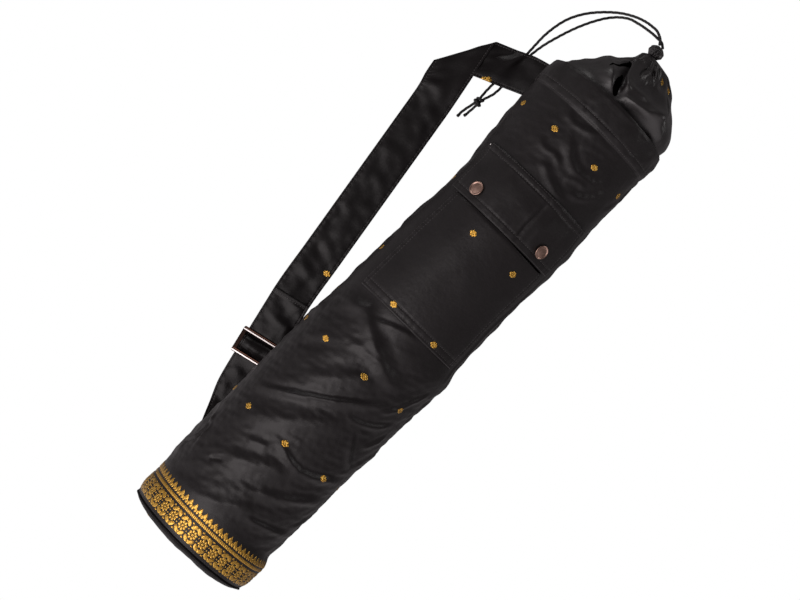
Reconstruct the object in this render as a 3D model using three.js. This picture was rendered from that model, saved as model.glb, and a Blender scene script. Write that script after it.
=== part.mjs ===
// A yoga mat bag of black satin, lying on its back with its shoulder strap laid out beside it.
// Millimetres, +Z up. +X runs from the round base to the drawn mouth and +Y towards the strap.
// The origin is on the surface that the bag rests on, below the middle of the body.
import * as THREE from "three";
import { mergeVertices } from "three/addons/utils/BufferGeometryUtils.js";

// Clearance that two touching pieces keep
const GAP = 0.3;

// Body tube and its cuff
const BODY_LENGTH = 660; // from the base seam to the free edge of the cuff
const BODY_RADIUS = 79; // half of the bag's width as it lies
const BODY_FLATTENING = 0.96; // its height over its width
const BODY_CLOTH = 2; // satin with its lining
const REST_PRESS = 1.6; // how far its own weight presses the underside flat
const CUFF_LENGTH = 34; // the doubled edge round the mouth
const CUFF_CLOTH = 3;
const CUFF_STEP = 0.8; // the cuff stands this proud of the body
const BODY_SIDES = 36;
const FOLDS_FADE_FROM = 110; // the folds fade out on the underside, between these two turns
const FOLDS_FADE_TO = 150;
const RING_SPACING = 30; // widest spacing of the body's rings

// Base disc
const BASE_BULGE = 13;
const BASE_CLOTH = 2;
const BASE_RINGS = 4;

// Drawstring collar, its neck and the channel bunched round the mouth
const COLLAR_LENGTH = 73; // from the cuff's edge to the neck
const COLLAR_TUCK = 24; // how far it reaches into the cuff
const COLLAR_CLOTH = 1.6;
const COLLAR_PLEATS = 13;
const PLEAT_DEPTH = 3.2;
const NECK_RADIUS = 7.4;
const NECK_SIDE = 5; // the neck is drawn this far towards the strap
const NECK_DROP = 6; // and sags this far below the body's axis
const MOUTH_RADIUS = 4; // the hole that the drawn cloth leaves
const CHANNEL_LENGTH = 15;
const CHANNEL_SWELL = 1.4; // how much the channel stands out past the neck
const CHANNEL_PLEAT = 0.5;

// Patch pocket, its flap and two snaps; turns are degrees from the top towards the strap
const POCKET_TURN = -6.5;
const POCKET_WIDTH = 162;
const POCKET_HEIGHT = 172;
const POCKET_FROM_BASE = 332.5; // from the base seam to the pocket's lower edge
const POCKET_CLOTH = 1.5;
const FLAP_TURN = -2.8;
const FLAP_WIDTH = 176;
const FLAP_LENGTH = 67;
const FLAP_LAP = 28; // how much of the pocket the flap covers
const FLAP_STEP = 9; // the length over which it steps down onto the body
const FLAP_CLOTH = 1.6;
const SNAP_RADIUS = 8;
const SNAP_HEIGHT = 2.6;
const SNAP_SPREAD = 101.6; // between the two snaps, round the body
const SNAP_FROM_EDGE = 15.6; // from the flap's free edge
const SNAP_SIDES = 14;

// Shoulder strap
const STRAP_WIDTH = 46;
const STRAP_CLOTH = 1.8;
const SEAM_TURN = 130; // the long seam that holds the strap's upper end
const STRAP_COLUMNS = 4;
const ROOT_FROM_CUFF = 1; // from the cuff's edge to the near edge of the strap's root
const FOLD_FROM_CUFF = 57; // from the cuff's edge to the middle of the flat fold
const FOLD_OUT = 80; // from the body's side to the middle of the flat fold
const FOLD_HEADING = 112.5; // the way the strap runs into the fold, in degrees
const LAP_FROM_BASE = 267; // the hem where the lower strap ends on top of the upper one
const LAP_OUT = 28;
const SLIDER_FROM_BASE = 197.3;
const SLIDER_OUT = 12.3;
const ANCHOR_FROM_BASE = 14; // the lower end, sewn flat to the body
const ANCHOR_LENGTH = 34;
const ANCHOR_TURN = 140;
const CORD_CLEARANCE = 3.6; // the strap passes over the two cords

// Two-window slider on the strap
const SLIDER_BAR = 5; // its two end bars
const SLIDER_MIDDLE_BAR = 4;
const SLIDER_WINDOW = 7.4;
const SLIDER_RAIL = 3.5;
const SLIDER_PLAY = 1.5; // beside the strap's edges
const SLIDER_THICKNESS = 2.5;
const SLIDER_CORNER = 1.5;

// Drawstring
const CORD_RADIUS = 1.5;
const CORD_SIDES = 8;
const KNOT_SIDES = 10;

// Outline of the body: at is a share of its length from the base seam, and left and right are
// its reach towards and away from the strap, as shares of its radius.
const BODY_SECTIONS = [
  { at: 0, left: 0.975, right: 0.985 },
  { at: 0.02, left: 1.01, right: 1.015 },
  { at: 0.05, left: 0.985, right: 1.025 },
  { at: 0.075, left: 1.0, right: 0.965 },
  { at: 0.115, left: 1.02, right: 0.98 },
  { at: 0.2, left: 1.01, right: 1.0 },
  { at: 0.345, left: 1.005, right: 1.025 },
  { at: 0.41, left: 0.995, right: 1.04 },
  { at: 0.475, left: 0.96, right: 1.08 },
  { at: 0.52, left: 0.96, right: 1.015 },
  { at: 0.62, left: 0.935, right: 1.005 },
  { at: 0.73, left: 0.893, right: 1.035 },
  { at: 0.775, left: 0.895, right: 1.04 },
  { at: 0.84, left: 0.955, right: 1.005 },
  { at: 0.895, left: 1.0, right: 1.0 },
  { at: 0.975, left: 1.01, right: 1.01 },
  { at: 1, left: 0.99, right: 0.985 },
];

// Main folds of the body cloth: at is a share of the body's length, turn is in degrees from the
// top, heading is the fold's run on the unrolled cloth, length and width are shares of the
// body's radius, and lift is a share of its cloth, downwards where it is below 0.
const BODY_FOLDS = [
  { at: 0.085, turn: 0, heading: -74, length: 1.5, width: 0.14, lift: -0.8 },
  { at: 0.18, turn: -3, heading: -57, length: 1.3, width: 0.15, lift: 1.0 },
  { at: 0.25, turn: 8, heading: -55, length: 1.7, width: 0.16, lift: -1.0 },
  { at: 0.32, turn: 0, heading: -53, length: 2.1, width: 0.15, lift: 1.3 },
  { at: 0.38, turn: 14, heading: -50, length: 1.4, width: 0.16, lift: -1.0 },
  { at: 0.45, turn: -4, heading: 60, length: 1.2, width: 0.15, lift: 1.0 },
  { at: 0.44, turn: -62, heading: 8, length: 1.5, width: 0.2, lift: 1.0 },
  { at: 0.9, turn: -12, heading: 72, length: 1.0, width: 0.2, lift: 0.7 },
];

// The collar from the cuff's edge to the neck: at is a share of its length, side and height are
// shares of its size at the cuff, and shift is a sideways share of the body's radius. pleat is a
// share of the pleats' depth. The neck's own row is worked out from its radius.
const COLLAR_SECTIONS = [
  { at: 0, side: 1, height: 1, shift: 0, pleat: 0 },
  { at: 0.14, side: 0.95, height: 0.94, shift: -0.076, pleat: 0.4 },
  { at: 0.3, side: 0.855, height: 0.85, shift: -0.114, pleat: 0.8 },
  { at: 0.48, side: 0.725, height: 0.71, shift: -0.111, pleat: 1 },
  { at: 0.68, side: 0.535, height: 0.53, shift: -0.101, pleat: 0.9 },
  { at: 0.82, side: 0.39, height: 0.39, shift: -0.1, pleat: 0.7 },
  { at: 0.94, side: 0.275, height: 0.27, shift: -0.046, pleat: 0.45 },
];

// The bunched channel: at is a share of its length and swell a share of how far it stands out.
const CHANNEL_SECTIONS = [
  { at: 0, swell: -0.4 },
  { at: 0.18, swell: 0.35 },
  { at: 0.45, swell: 1 },
  { at: 0.75, swell: 0.8 },
  { at: 0.93, swell: 0 },
  { at: 1, swell: -0.9 },
];

// Routes of the two cord strands from the channel to the knot, and of their ends past it
const CORD_ROUTES = {
  cord_outer: [
    [419.6, 9, 67.5], [424.5, 12.5, 68], [429.5, 20, 63], [432, 30, 50], [432.4, 42, 33],
    [430, 54, 17.5], [424.3, 66, 7.6], [412.2, 80.5, 4.4], [396, 94.5, 1.8], [380, 103.2, 1.6],
    [360, 108.4, 1.6], [346, 109.8, 1.6], [333, 109.6, 1.6], [320, 109.2, 1.6],
    [300, 110.5, 1.6], [280, 112.2, 1.6], [266, 112.9, 1.6], [254, 112.8, 1.9],
    [246.4, 112.2, 2.6],
  ],
  cord_inner: [
    [419.6, 3.6, 66], [423.5, 8, 64.5], [425.5, 18, 58], [426.6, 31, 44], [427, 43, 27],
    [425.6, 55, 11.5], [420, 64.5, 2.6], [410.5, 73, 1.6], [400.4, 79.4, 1.6],
    [385, 87.2, 1.6], [369.5, 93.4, 1.6], [354, 98.4, 1.6], [338.5, 102.6, 1.6],
    [320, 105.4, 1.6], [300, 105.4, 1.6], [285, 104, 1.6], [272, 103.6, 1.6],
    [259, 104.6, 1.9], [247.4, 108.2, 2.6],
  ],
};
const CORD_TAILS = {
  tail_outer: [
    [234.3, 113.4, 2.7], [228, 114.9, 1.9], [221, 116.2, 1.6], [212.4, 116.4, 1.6],
  ],
  tail_inner: [
    [234, 109.7, 2.7], [228, 110.2, 1.9], [223, 110.7, 1.6], [218, 111.2, 1.6],
  ],
};
const CORD_STEPS = { cord_outer: 38, cord_inner: 36, tail_outer: 4, tail_inner: 3 };
// The overhand knot: from and to along its length, and its outline as shares of the cord radius
const KNOT_FROM = [234.6, 111.6, 4.4];
const KNOT_TO = [246, 109.8, 4.4];
const KNOT_OUTLINE = [
  { at: 0, reach: 1.9 },
  { at: 0.12, reach: 3.0 },
  { at: 0.3, reach: 3.9 },
  { at: 0.48, reach: 3.2 },
  { at: 0.66, reach: 4.2 },
  { at: 0.88, reach: 3.1 },
  { at: 1, reach: 2.1 },
];
const KNOT_FLATTENING = 0.66;

// Places that several pieces share
const BASE_X = -BODY_LENGTH / 2;
const CUFF_X = BODY_LENGTH / 2;
const CUFF_START = CUFF_X - CUFF_LENGTH;
const AXIS_Z = BODY_RADIUS * BODY_FLATTENING - REST_PRESS;
const POCKET_X = BASE_X + POCKET_FROM_BASE;
const POCKET_TOP = POCKET_X + POCKET_HEIGHT;
const FLAP_X = POCKET_TOP - FLAP_LAP;
const NECK_X = CUFF_X + COLLAR_LENGTH;
const OVER_POCKET = GAP + POCKET_CLOTH + GAP;

const radians = THREE.MathUtils.degToRad;
const ease = (value, from, to) => THREE.MathUtils.smoothstep(value, from, to);
const mix = THREE.MathUtils.lerp;
const vec = (x, y, z) => new THREE.Vector3(x, y, z);

// The value of one column of a table of rows at a share, eased between rows.
function fromTable(table, at, column) {
  if (at <= table[0].at) return table[0][column];
  const next = table.findIndex((row) => row.at >= at);
  if (next < 0) return table[table.length - 1][column];
  const [a, b] = [table[next - 1], table[next]];
  return mix(a[column], b[column], ease(at, a.at, b.at));
}

// The closed solid between two grids of points. Rows run along the piece, and columns across
// it, or round it where closed is true. The front is the side that rows cross columns face.
function wallBetween(front, back, closed = false) {
  const [rows, columns] = [front.length, front[0].length];
  const spans = closed ? columns : columns - 1;
  const onFront = (r, c) => r * columns + (c % columns);
  const onBack = (r, c) => rows * columns + onFront(r, c);
  const corners = [];
  const quad = (a, b, c, d) => corners.push(a, b, c, a, c, d);
  for (let c = 0; c < spans; c++) {
    for (let r = 0; r < rows - 1; r++) {
      quad(onFront(r, c), onFront(r + 1, c), onFront(r + 1, c + 1), onFront(r, c + 1));
      quad(onBack(r, c), onBack(r, c + 1), onBack(r + 1, c + 1), onBack(r + 1, c));
    }
    quad(onFront(0, c), onFront(0, c + 1), onBack(0, c + 1), onBack(0, c));
    const last = rows - 1;
    quad(onFront(last, c), onBack(last, c), onBack(last, c + 1), onFront(last, c + 1));
  }
  for (let r = 0; !closed && r < rows - 1; r++) {
    const last = columns - 1;
    quad(onFront(r, 0), onBack(r, 0), onBack(r + 1, 0), onFront(r + 1, 0));
    quad(onFront(r, last), onFront(r + 1, last), onBack(r + 1, last), onBack(r, last));
  }
  return closedGeometry([...front.flat(), ...back.flat()], corners);
}

// A geometry whose shared points are merged, without the triangles that a pole leaves empty.
function closedGeometry(points, corners) {
  const loose = new THREE.BufferGeometry().setFromPoints(points).setIndex(corners);
  const geometry = mergeVertices(loose, 1e-4);
  const index = geometry.index.array;
  const kept = [];
  for (let i = 0; i < index.length; i += 3) {
    const [a, b, c] = index.slice(i, i + 3);
    if (a !== b && b !== c && c !== a) kept.push(a, b, c);
  }
  geometry.setIndex(kept);
  geometry.computeVertexNormals();
  return geometry;
}

// The way out of the body's skin at a turn.
const outward = (turn) => vec(0, Math.sin(radians(turn)), Math.cos(radians(turn)));

// How far the main folds lift the body's cloth at a place.
function foldLift(x, turn) {
  const arc = radians(turn) * BODY_RADIUS;
  const onTop = 1 - ease(Math.abs(turn), FOLDS_FADE_FROM, FOLDS_FADE_TO);
  let lift = 0;
  for (const fold of BODY_FOLDS) {
    const [dx, da] = [x - (BASE_X + fold.at * BODY_LENGTH), arc - radians(fold.turn) * BODY_RADIUS];
    const [c, s] = [Math.cos(radians(fold.heading)), Math.sin(radians(fold.heading))];
    const along = (dx * c + da * s) / ((fold.length / 2) * BODY_RADIUS);
    const across = (da * c - dx * s) / (fold.width * BODY_RADIUS);
    lift += fold.lift * BODY_CLOTH * Math.exp(-(across ** 2) - along ** 4);
  }
  return lift * onTop;
}

// A point of the body's outside at a station and a turn, pressed flat where it rests.
function bodySkin(x, turn) {
  const at = (x - BASE_X) / BODY_LENGTH;
  const out = outward(turn);
  const reach = fromTable(BODY_SECTIONS, at, out.y >= 0 ? "left" : "right");
  const lift = foldLift(x, turn);
  const y = out.y * (reach * BODY_RADIUS + lift);
  const z = AXIS_Z + out.z * (BODY_RADIUS * BODY_FLATTENING + lift);
  return vec(x, y, Math.max(z, 0));
}

// Turns of the body's columns, from -180 to just short of 180 degrees
const BODY_TURNS = Array.from({ length: BODY_SIDES }, (_, i) => (i * 360) / BODY_SIDES - 180);

// Stations of the body's rings: each row of the outline, with more where rows lie far apart.
function ringStations(from, to) {
  const rows = BODY_SECTIONS.map((row) => BASE_X + row.at * BODY_LENGTH);
  const fixed = [from, ...rows.filter((x) => x > from + 1 && x < to - 1), to];
  return fixed.flatMap((x, i) => {
    if (i === fixed.length - 1) return [x];
    const parts = Math.ceil((fixed[i + 1] - x) / RING_SPACING);
    return Array.from({ length: parts }, (_, k) => mix(x, fixed[i + 1], k / parts));
  });
}
const BODY_STATIONS = ringStations(BASE_X, CUFF_START - GAP);

// A point moved into the tube by a cloth's thickness, kept inside the flattened underside.
function inside(point, turn, cloth) {
  const moved = point.clone().addScaledVector(outward(turn), -cloth);
  return point.z > 0 ? moved : moved.setZ(cloth);
}

function bodyTube() {
  const ring = (x, cloth) => BODY_TURNS.map((turn) => inside(bodySkin(x, turn), turn, cloth));
  const outer = BODY_STATIONS.map((x) => ring(x, 0));
  const inner = BODY_STATIONS.map((x) => ring(x, BODY_CLOTH));
  return wallBetween(outer, inner, true);
}

// The faceted body's outside at any station and turn, raised by a height above the cloth.
function onBody(x, turn, height) {
  const step = 360 / BODY_SIDES;
  const turnBelow = Math.floor(turn / step) * step;
  const next = Math.max(1, BODY_STATIONS.findIndex((station) => station >= x));
  const [x0, x1] = [BODY_STATIONS[next - 1], BODY_STATIONS[next]];
  const [u, v] = [(x - x0) / (x1 - x0), (turn - turnBelow) / step];
  const low = bodySkin(x0, turnBelow).lerp(bodySkin(x1, turnBelow), u);
  const high = bodySkin(x0, turnBelow + step).lerp(bodySkin(x1, turnBelow + step), u);
  return low.lerp(high, v).addScaledVector(outward(turn), height);
}

// A panel of cloth that follows the faceted body. height gives its underside at a station.
function panelOnBody(stations, turnFrom, turnTo, height, cloth) {
  const step = 360 / BODY_SIDES;
  const turns = [turnFrom];
  for (let t = Math.ceil(turnFrom / step + 0.05) * step; t < turnTo - 0.5; t += step) turns.push(t);
  turns.push(turnTo);
  const grid = (extra) => stations.map((x) => turns.map((t) => onBody(x, t, height(x) + extra)));
  return wallBetween(grid(cloth), grid(0));
}

// Stations of a panel: its two ends and the body's rings between them.
const panelStations = (from, to, more = []) =>
  [from, to, ...more, ...BODY_STATIONS.filter((x) => x > from + 2 && x < to - 2)]
    .sort((a, b) => a - b)
    .filter((x, i, all) => i === 0 || x - all[i - 1] > 0.5);

function pocketPanel() {
  const half = THREE.MathUtils.radToDeg(POCKET_WIDTH / 2 / BODY_RADIUS);
  const stations = panelStations(POCKET_X, POCKET_TOP);
  const [from, to] = [POCKET_TURN - half, POCKET_TURN + half];
  return panelOnBody(stations, from, to, () => GAP, POCKET_CLOTH);
}

// The height of the flap's underside: over the pocket, then down onto the body.
const flapHeight = (x) => mix(OVER_POCKET, GAP, ease(x, POCKET_TOP + 1, POCKET_TOP + 1 + FLAP_STEP));

function flapPanel() {
  const half = THREE.MathUtils.radToDeg(FLAP_WIDTH / 2 / BODY_RADIUS);
  const steps = [POCKET_TOP + 1, POCKET_TOP + 1 + FLAP_STEP / 2, POCKET_TOP + 1 + FLAP_STEP];
  const stations = panelStations(FLAP_X, FLAP_X + FLAP_LENGTH, steps);
  return panelOnBody(stations, FLAP_TURN - half, FLAP_TURN + half, flapHeight, FLAP_CLOTH);
}

// A snap's pressed cap: a low dome with a rolled edge, standing on the flap.
function snapCap() {
  const profile = [
    new THREE.Vector2(0, 0),
    new THREE.Vector2(SNAP_RADIUS * 0.92, 0),
    new THREE.Vector2(SNAP_RADIUS, SNAP_HEIGHT * 0.45),
    new THREE.Vector2(SNAP_RADIUS * 0.9, SNAP_HEIGHT),
    new THREE.Vector2(SNAP_RADIUS * 0.72, SNAP_HEIGHT * 0.86),
    new THREE.Vector2(0, SNAP_HEIGHT * 0.96),
  ];
  return new THREE.LatheGeometry(profile, SNAP_SIDES);
}

function cuffRing() {
  const stations = [CUFF_START, ...BODY_SECTIONS.map((row) => BASE_X + row.at * BODY_LENGTH)]
    .filter((x) => x >= CUFF_START && x < CUFF_X - 1)
    .concat([CUFF_X - 4, CUFF_X])
    .sort((a, b) => a - b);
  const skin = (x, turn) => {
    const point = bodySkin(x, turn);
    const proud = CUFF_STEP * (1 - ease(Math.abs(turn), FOLDS_FADE_FROM, FOLDS_FADE_TO));
    return point.addScaledVector(outward(turn), proud);
  };
  const ring = (x, cloth) => BODY_TURNS.map((turn) => inside(skin(x, turn), turn, cloth));
  const outer = stations.map((x) => ring(x, 0));
  const inner = stations.map((x) => ring(x, CUFF_CLOTH));
  return wallBetween(outer, inner, true);
}

// The base: a cloth disc that the contents push outwards, sewn to the end of the tube.
function baseDisc() {
  const rim = BODY_TURNS.map((turn) => inside(bodySkin(BASE_X, turn), turn, BASE_CLOTH / 4));
  const middle = vec(BASE_X, 0, AXIS_Z);
  const face = (depth) =>
    Array.from({ length: BASE_RINGS + 1 }, (_, ring) => {
      const out = Math.sin((ring / BASE_RINGS) * (Math.PI / 2));
      const bulge = BASE_BULGE * Math.sqrt(1 - out ** 2.2);
      return rim.map((point) => middle.clone().lerp(point, out).setX(BASE_X - GAP - bulge - depth));
    });
  return wallBetween(face(BASE_CLOTH), face(0), true);
}

// Turns of the collar's columns: crest, side, valley, side for each pleat
const COLLAR_TURNS = Array.from(
  { length: COLLAR_PLEATS * 4 },
  (_, i) => (i * 360) / (COLLAR_PLEATS * 4) - 180,
);
const pleat = (turn) => Math.cos(radians(turn) * COLLAR_PLEATS);

// A point of the collar's outside where it leaves the cuff.
function collarRoot(turn) {
  const step = 360 / BODY_SIDES;
  const below = Math.floor(turn / step) * step;
  const skin = (t) => inside(bodySkin(CUFF_X, t), t, CUFF_CLOTH + GAP);
  return skin(below).lerp(skin(below + step), (turn - below) / step);
}

function collarSkin(at, turn) {
  const neckSize = NECK_RADIUS / (BODY_RADIUS - CUFF_CLOTH - GAP);
  const neck = { at: 1, side: neckSize, height: neckSize, shift: NECK_SIDE / BODY_RADIUS, pleat: 0.2 };
  const table = [...COLLAR_SECTIONS, neck];
  const root = collarRoot(turn);
  const depth = fromTable(table, at, "pleat") * PLEAT_DEPTH * (pleat(turn) - 0.3);
  const y = root.y * fromTable(table, at, "side") + fromTable(table, at, "shift") * BODY_RADIUS;
  const sag = NECK_DROP * ease(at, 0.2, 1);
  const z = AXIS_Z - sag + (root.z - AXIS_Z) * fromTable(table, at, "height");
  const point = vec(CUFF_X + at * COLLAR_LENGTH, y, z);
  return point.addScaledVector(outward(turn), depth);
}

function drawstringCollar() {
  const shares = COLLAR_SECTIONS.map((row) => row.at);
  const middle = vec(NECK_X, NECK_SIDE, AXIS_Z - NECK_DROP);
  const rooted = (cloth) => COLLAR_TURNS.map((turn) =>
    inside(collarRoot(turn), turn, cloth).setX(CUFF_X - COLLAR_TUCK));
  const ring = (at, cloth) => COLLAR_TURNS.map((turn) =>
    collarSkin(at, turn).addScaledVector(outward(turn), -cloth));
  const mouth = COLLAR_TURNS.map((turn) => middle.clone().addScaledVector(outward(turn), MOUTH_RADIUS));
  const outer = [rooted(0), ...shares.map((at) => ring(at, 0)), ring(1, 0)];
  const inner = [rooted(COLLAR_CLOTH), ...shares.map((at) => ring(at, COLLAR_CLOTH)), mouth];
  return wallBetween(outer, inner, true);
}

// The channel that holds the drawstring, bunched into a small ruffle round the mouth.
function drawstringChannel() {
  const start = NECK_X + GAP;
  const middle = (x) => vec(x, NECK_SIDE + 2 * ease(x, start, start + CHANNEL_LENGTH), AXIS_Z - NECK_DROP);
  const turns = COLLAR_TURNS.filter((_, i) => i % 2 === 0);
  const ring = ({ at, swell }) => turns.map((turn, i) => {
    const ruffle = CHANNEL_PLEAT * (i % 2 === 0 ? 1 : -1);
    const radius = NECK_RADIUS + CHANNEL_SWELL * swell + ruffle * Math.min(1, swell + 0.6);
    return middle(start + at * CHANNEL_LENGTH).addScaledVector(outward(turn), radius);
  });
  const hole = ({ at }) => turns.map((turn) =>
    middle(start + at * CHANNEL_LENGTH).addScaledVector(outward(turn), MOUTH_RADIUS));
  return wallBetween(CHANNEL_SECTIONS.map(ring), CHANNEL_SECTIONS.map(hole), true);
}

// The strap lies in the plane of the surface: a heading's direction and the way to its left.
const ahead = (heading) => vec(Math.cos(radians(heading)), Math.sin(radians(heading)), 0);
const leftOf = (way) => vec(-way.y, way.x, 0);
const headingOf = (from, to) => THREE.MathUtils.radToDeg(Math.atan2(to.y - from.y, to.x - from.x));

const STRAP_LOW = STRAP_CLOTH / 2; // middle of a strap that lies on the surface
const STRAP_OVER = STRAP_LOW + STRAP_CLOTH + GAP; // middle of a strap that lies on another
const FOLD_PLACE = vec(CUFF_X - FOLD_FROM_CUFF, BODY_RADIUS + FOLD_OUT, STRAP_LOW);
const LAP_PLACE = vec(BASE_X + LAP_FROM_BASE, BODY_RADIUS + LAP_OUT, STRAP_LOW);
const SLIDER_PLACE = vec(BASE_X + SLIDER_FROM_BASE, BODY_RADIUS + SLIDER_OUT, STRAP_LOW);
const RUN_HEADING = headingOf(FOLD_PLACE, LAP_PLACE) + 360;
const LOWER_HEADING = headingOf(LAP_PLACE, SLIDER_PLACE) + 360;

// Offsets of the strap's columns from its middle, the right edge first
const STRAP_OFFSETS = Array.from(
  { length: STRAP_COLUMNS + 1 },
  (_, i) => (i / STRAP_COLUMNS - 0.5) * STRAP_WIDTH,
);

// Both sides of a strap from the places of its middle surface: each row lists its columns, and
// a row's normals come from its neighbours.
function strapSolid(rows) {
  const side = (sign) => rows.map((row, r) => row.map((point, c) => {
    const [before, after] = [rows[Math.max(r - 1, 0)][c], rows[Math.min(r + 1, rows.length - 1)][c]];
    const across = row[Math.min(c + 1, row.length - 1)].clone().sub(row[Math.max(c - 1, 0)]);
    const normal = after.clone().sub(before).cross(across).normalize();
    return point.clone().addScaledVector(normal, (sign * STRAP_CLOTH) / 2);
  }));
  return wallBetween(side(1), side(-1));
}

// The upper strap leaves the long seam, drops to the surface, passes over the cords, turns in a
// flat fold, runs back under the lower strap's end and stops under the slider's middle bar.
function upperStrap() {
  const into = ahead(FOLD_HEADING);
  const foldWay = ahead((FOLD_HEADING + RUN_HEADING) / 2);
  const past = leftOf(foldWay).multiplyScalar(-1);
  const radius = (STRAP_CLOTH + GAP) / 2;
  const rootX = CUFF_X - ROOT_FROM_CUFF - STRAP_WIDTH / 2;

  // Before the fold: how far from its middle, as a share of FOLD_OUT, and how high
  const approach = [
    { back: 0.875, height: CORD_CLEARANCE + STRAP_LOW + 3 },
    { back: 0.75, height: CORD_CLEARANCE + STRAP_LOW },
    { back: 0.525, height: CORD_CLEARANCE + STRAP_LOW },
    { back: 0.34, height: STRAP_LOW },
  ];
  // A column meets the slanting fold line this much further on than the middle does
  const slant = -leftOf(into).dot(past) / into.dot(past);
  const rows = [];
  const rootRow = (lengthOut) => STRAP_OFFSETS.map((offset) => {
    const seam = bodySkin(rootX - offset, SEAM_TURN);
    return seam.addScaledVector(outward(SEAM_TURN), CUFF_STEP + GAP + lengthOut);
  });
  rows.push(rootRow(0), rootRow(STRAP_WIDTH / 5));
  for (const { back, height } of approach) {
    const square = ease(back, 0.25, 1);
    rows.push(STRAP_OFFSETS.map((offset) => FOLD_PLACE.clone()
      .addScaledVector(into, slant * offset * (1 - square) - back * FOLD_OUT)
      .addScaledVector(leftOf(into), offset)
      .setZ(height)));
  }
  const turns = 6;
  for (let i = 0; i <= turns; i++) {
    const angle = (Math.PI * i) / turns;
    const drift = (angle * radius * into.dot(foldWay)) / into.dot(past);
    rows.push(STRAP_OFFSETS.map((offset) => FOLD_PLACE.clone()
      .addScaledVector(into, slant * offset)
      .addScaledVector(leftOf(into), offset)
      .addScaledVector(foldWay, drift)
      .addScaledVector(past, radius * Math.sin(angle))
      .setZ(STRAP_LOW + radius * (1 - Math.cos(angle)))));
  }
  // Past the fold: the run lies on the first stretch, then on the surface, up to the slider
  const run = ahead(RUN_HEADING);
  const runLength = LAP_PLACE.distanceTo(FOLD_PLACE);
  const turned = rows[rows.length - 1];
  const [downFrom, downAt] = [1.05 * STRAP_WIDTH, 1.6 * STRAP_WIDTH];
  const lengths = [0.5, 1.1, 1.6, 2.4, 3.4, 4.4, 5.4, 6.4].map((share) => share * STRAP_WIDTH)
    .filter((length) => length < runLength - STRAP_WIDTH / 2)
    .concat([runLength]);
  for (const length of lengths) {
    const squared = ease(length, 0, downAt);
    const height = mix(STRAP_OVER, STRAP_LOW, ease(length, downFrom, downAt));
    rows.push(turned.map((point, i) => {
      const level = FOLD_PLACE.clone().addScaledVector(leftOf(run), -STRAP_OFFSETS[i]);
      return point.clone().lerp(level, squared).addScaledVector(run, length).setZ(height);
    }));
  }
  const last = ahead(LOWER_HEADING);
  const toEnd = SLIDER_MIDDLE_BAR / 2 + 1;
  for (const before of [LAP_PLACE.distanceTo(SLIDER_PLACE) / 2, -toEnd]) {
    rows.push(STRAP_OFFSETS.map((offset) => SLIDER_PLACE.clone()
      .addScaledVector(last, -before)
      .addScaledVector(leftOf(last), -offset)));
  }
  return strapSolid(rows);
}

const SLIDER_LENGTH = 2 * SLIDER_BAR + 2 * SLIDER_WINDOW + SLIDER_MIDDLE_BAR;
const SLIDER_WIDTH = STRAP_WIDTH + 2 * SLIDER_PLAY + 2 * SLIDER_RAIL;

const SLIDER_HEIGHT = 2 * (STRAP_CLOTH + GAP); // the slider's underside, over both straps

// The lower strap ends on top of the upper one. From there it weaves through the slider, passes
// under the body's side and is sewn flat to the body near its base.
function lowerStrap() {
  const over = SLIDER_HEIGHT + SLIDER_THICKNESS + GAP + STRAP_LOW;
  const [bar, window] = [SLIDER_MIDDLE_BAR / 2, SLIDER_MIDDLE_BAR / 2 + SLIDER_WINDOW];
  const outer = SLIDER_LENGTH / 2;
  const lap = LAP_PLACE.distanceTo(SLIDER_PLACE);
  // Distance past the slider's middle, and height of the strap's middle, through its windows
  const weave = [
    { past: -lap, height: STRAP_OVER },
    { past: -lap * 0.6, height: STRAP_OVER },
    { past: -outer - 1, height: STRAP_OVER },
    { past: -window + 1.7, height: STRAP_OVER },
    { past: -bar - 1.2, height: over },
    { past: 0, height: over + 0.4 },
    { past: bar + 1.2, height: over },
    { past: window - 1.7, height: STRAP_OVER },
    { past: outer, height: STRAP_OVER - 0.6 },
    { past: outer + 12, height: STRAP_LOW },
  ];
  const way = ahead(LOWER_HEADING);
  const place = (along, height) => STRAP_OFFSETS.map((offset) => SLIDER_PLACE.clone()
    .addScaledVector(way, along)
    .addScaledVector(leftOf(way), offset)
    .setZ(height));
  const rows = weave.map(({ past, height }) => place(past, height));

  // Under the body's side it swings in, rises and rolls until it lies along the skin
  const anchorX = BASE_X + ANCHOR_FROM_BASE;
  const joinX = anchorX + ANCHOR_LENGTH;
  const start = SLIDER_PLACE.clone().addScaledVector(way, outer + 12);
  const onSkin = (x, offset) => {
    const turn = ANCHOR_TURN + THREE.MathUtils.radToDeg(offset / BODY_RADIUS);
    return bodySkin(x, turn).addScaledVector(outward(turn), GAP + STRAP_CLOTH / 2 + 0.3);
  };
  const sewn = onSkin(joinX, 0);
  for (const share of [0.2, 0.4, 0.55, 0.7, 0.85]) {
    const x = mix(start.x, joinX, share);
    const middle = mix(start.y + (x - start.x) * (way.y / way.x), sewn.y, ease(share, 0.1, 1));
    const side = leftOf(ahead(mix(LOWER_HEADING, 180, ease(share, 0.4, 1))));
    const lift = mix(STRAP_LOW, BODY_RADIUS / 2, ease(share, 0.3, 1));
    rows.push(STRAP_OFFSETS.map((offset) => {
      const flat = vec(x, middle, 0).addScaledVector(side, offset);
      const y = mix(flat.y, onSkin(x, offset).y, ease(share, 0.5, 1));
      const turn = 180 - THREE.MathUtils.radToDeg(Math.asin(Math.min(1, y / BODY_RADIUS)));
      const room = bodySkin(flat.x, turn).z - (GAP + STRAP_CLOTH) / Math.max(0.4, -outward(turn).z);
      return flat.setY(y).setZ(Math.max(STRAP_LOW, Math.min(lift, room)));
    }));
  }
  for (const share of [1, 0.5, 0]) {
    rows.push(STRAP_OFFSETS.map((offset) => onSkin(anchorX + share * ANCHOR_LENGTH, offset)));
  }
  return strapSolid(rows);
}

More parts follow.
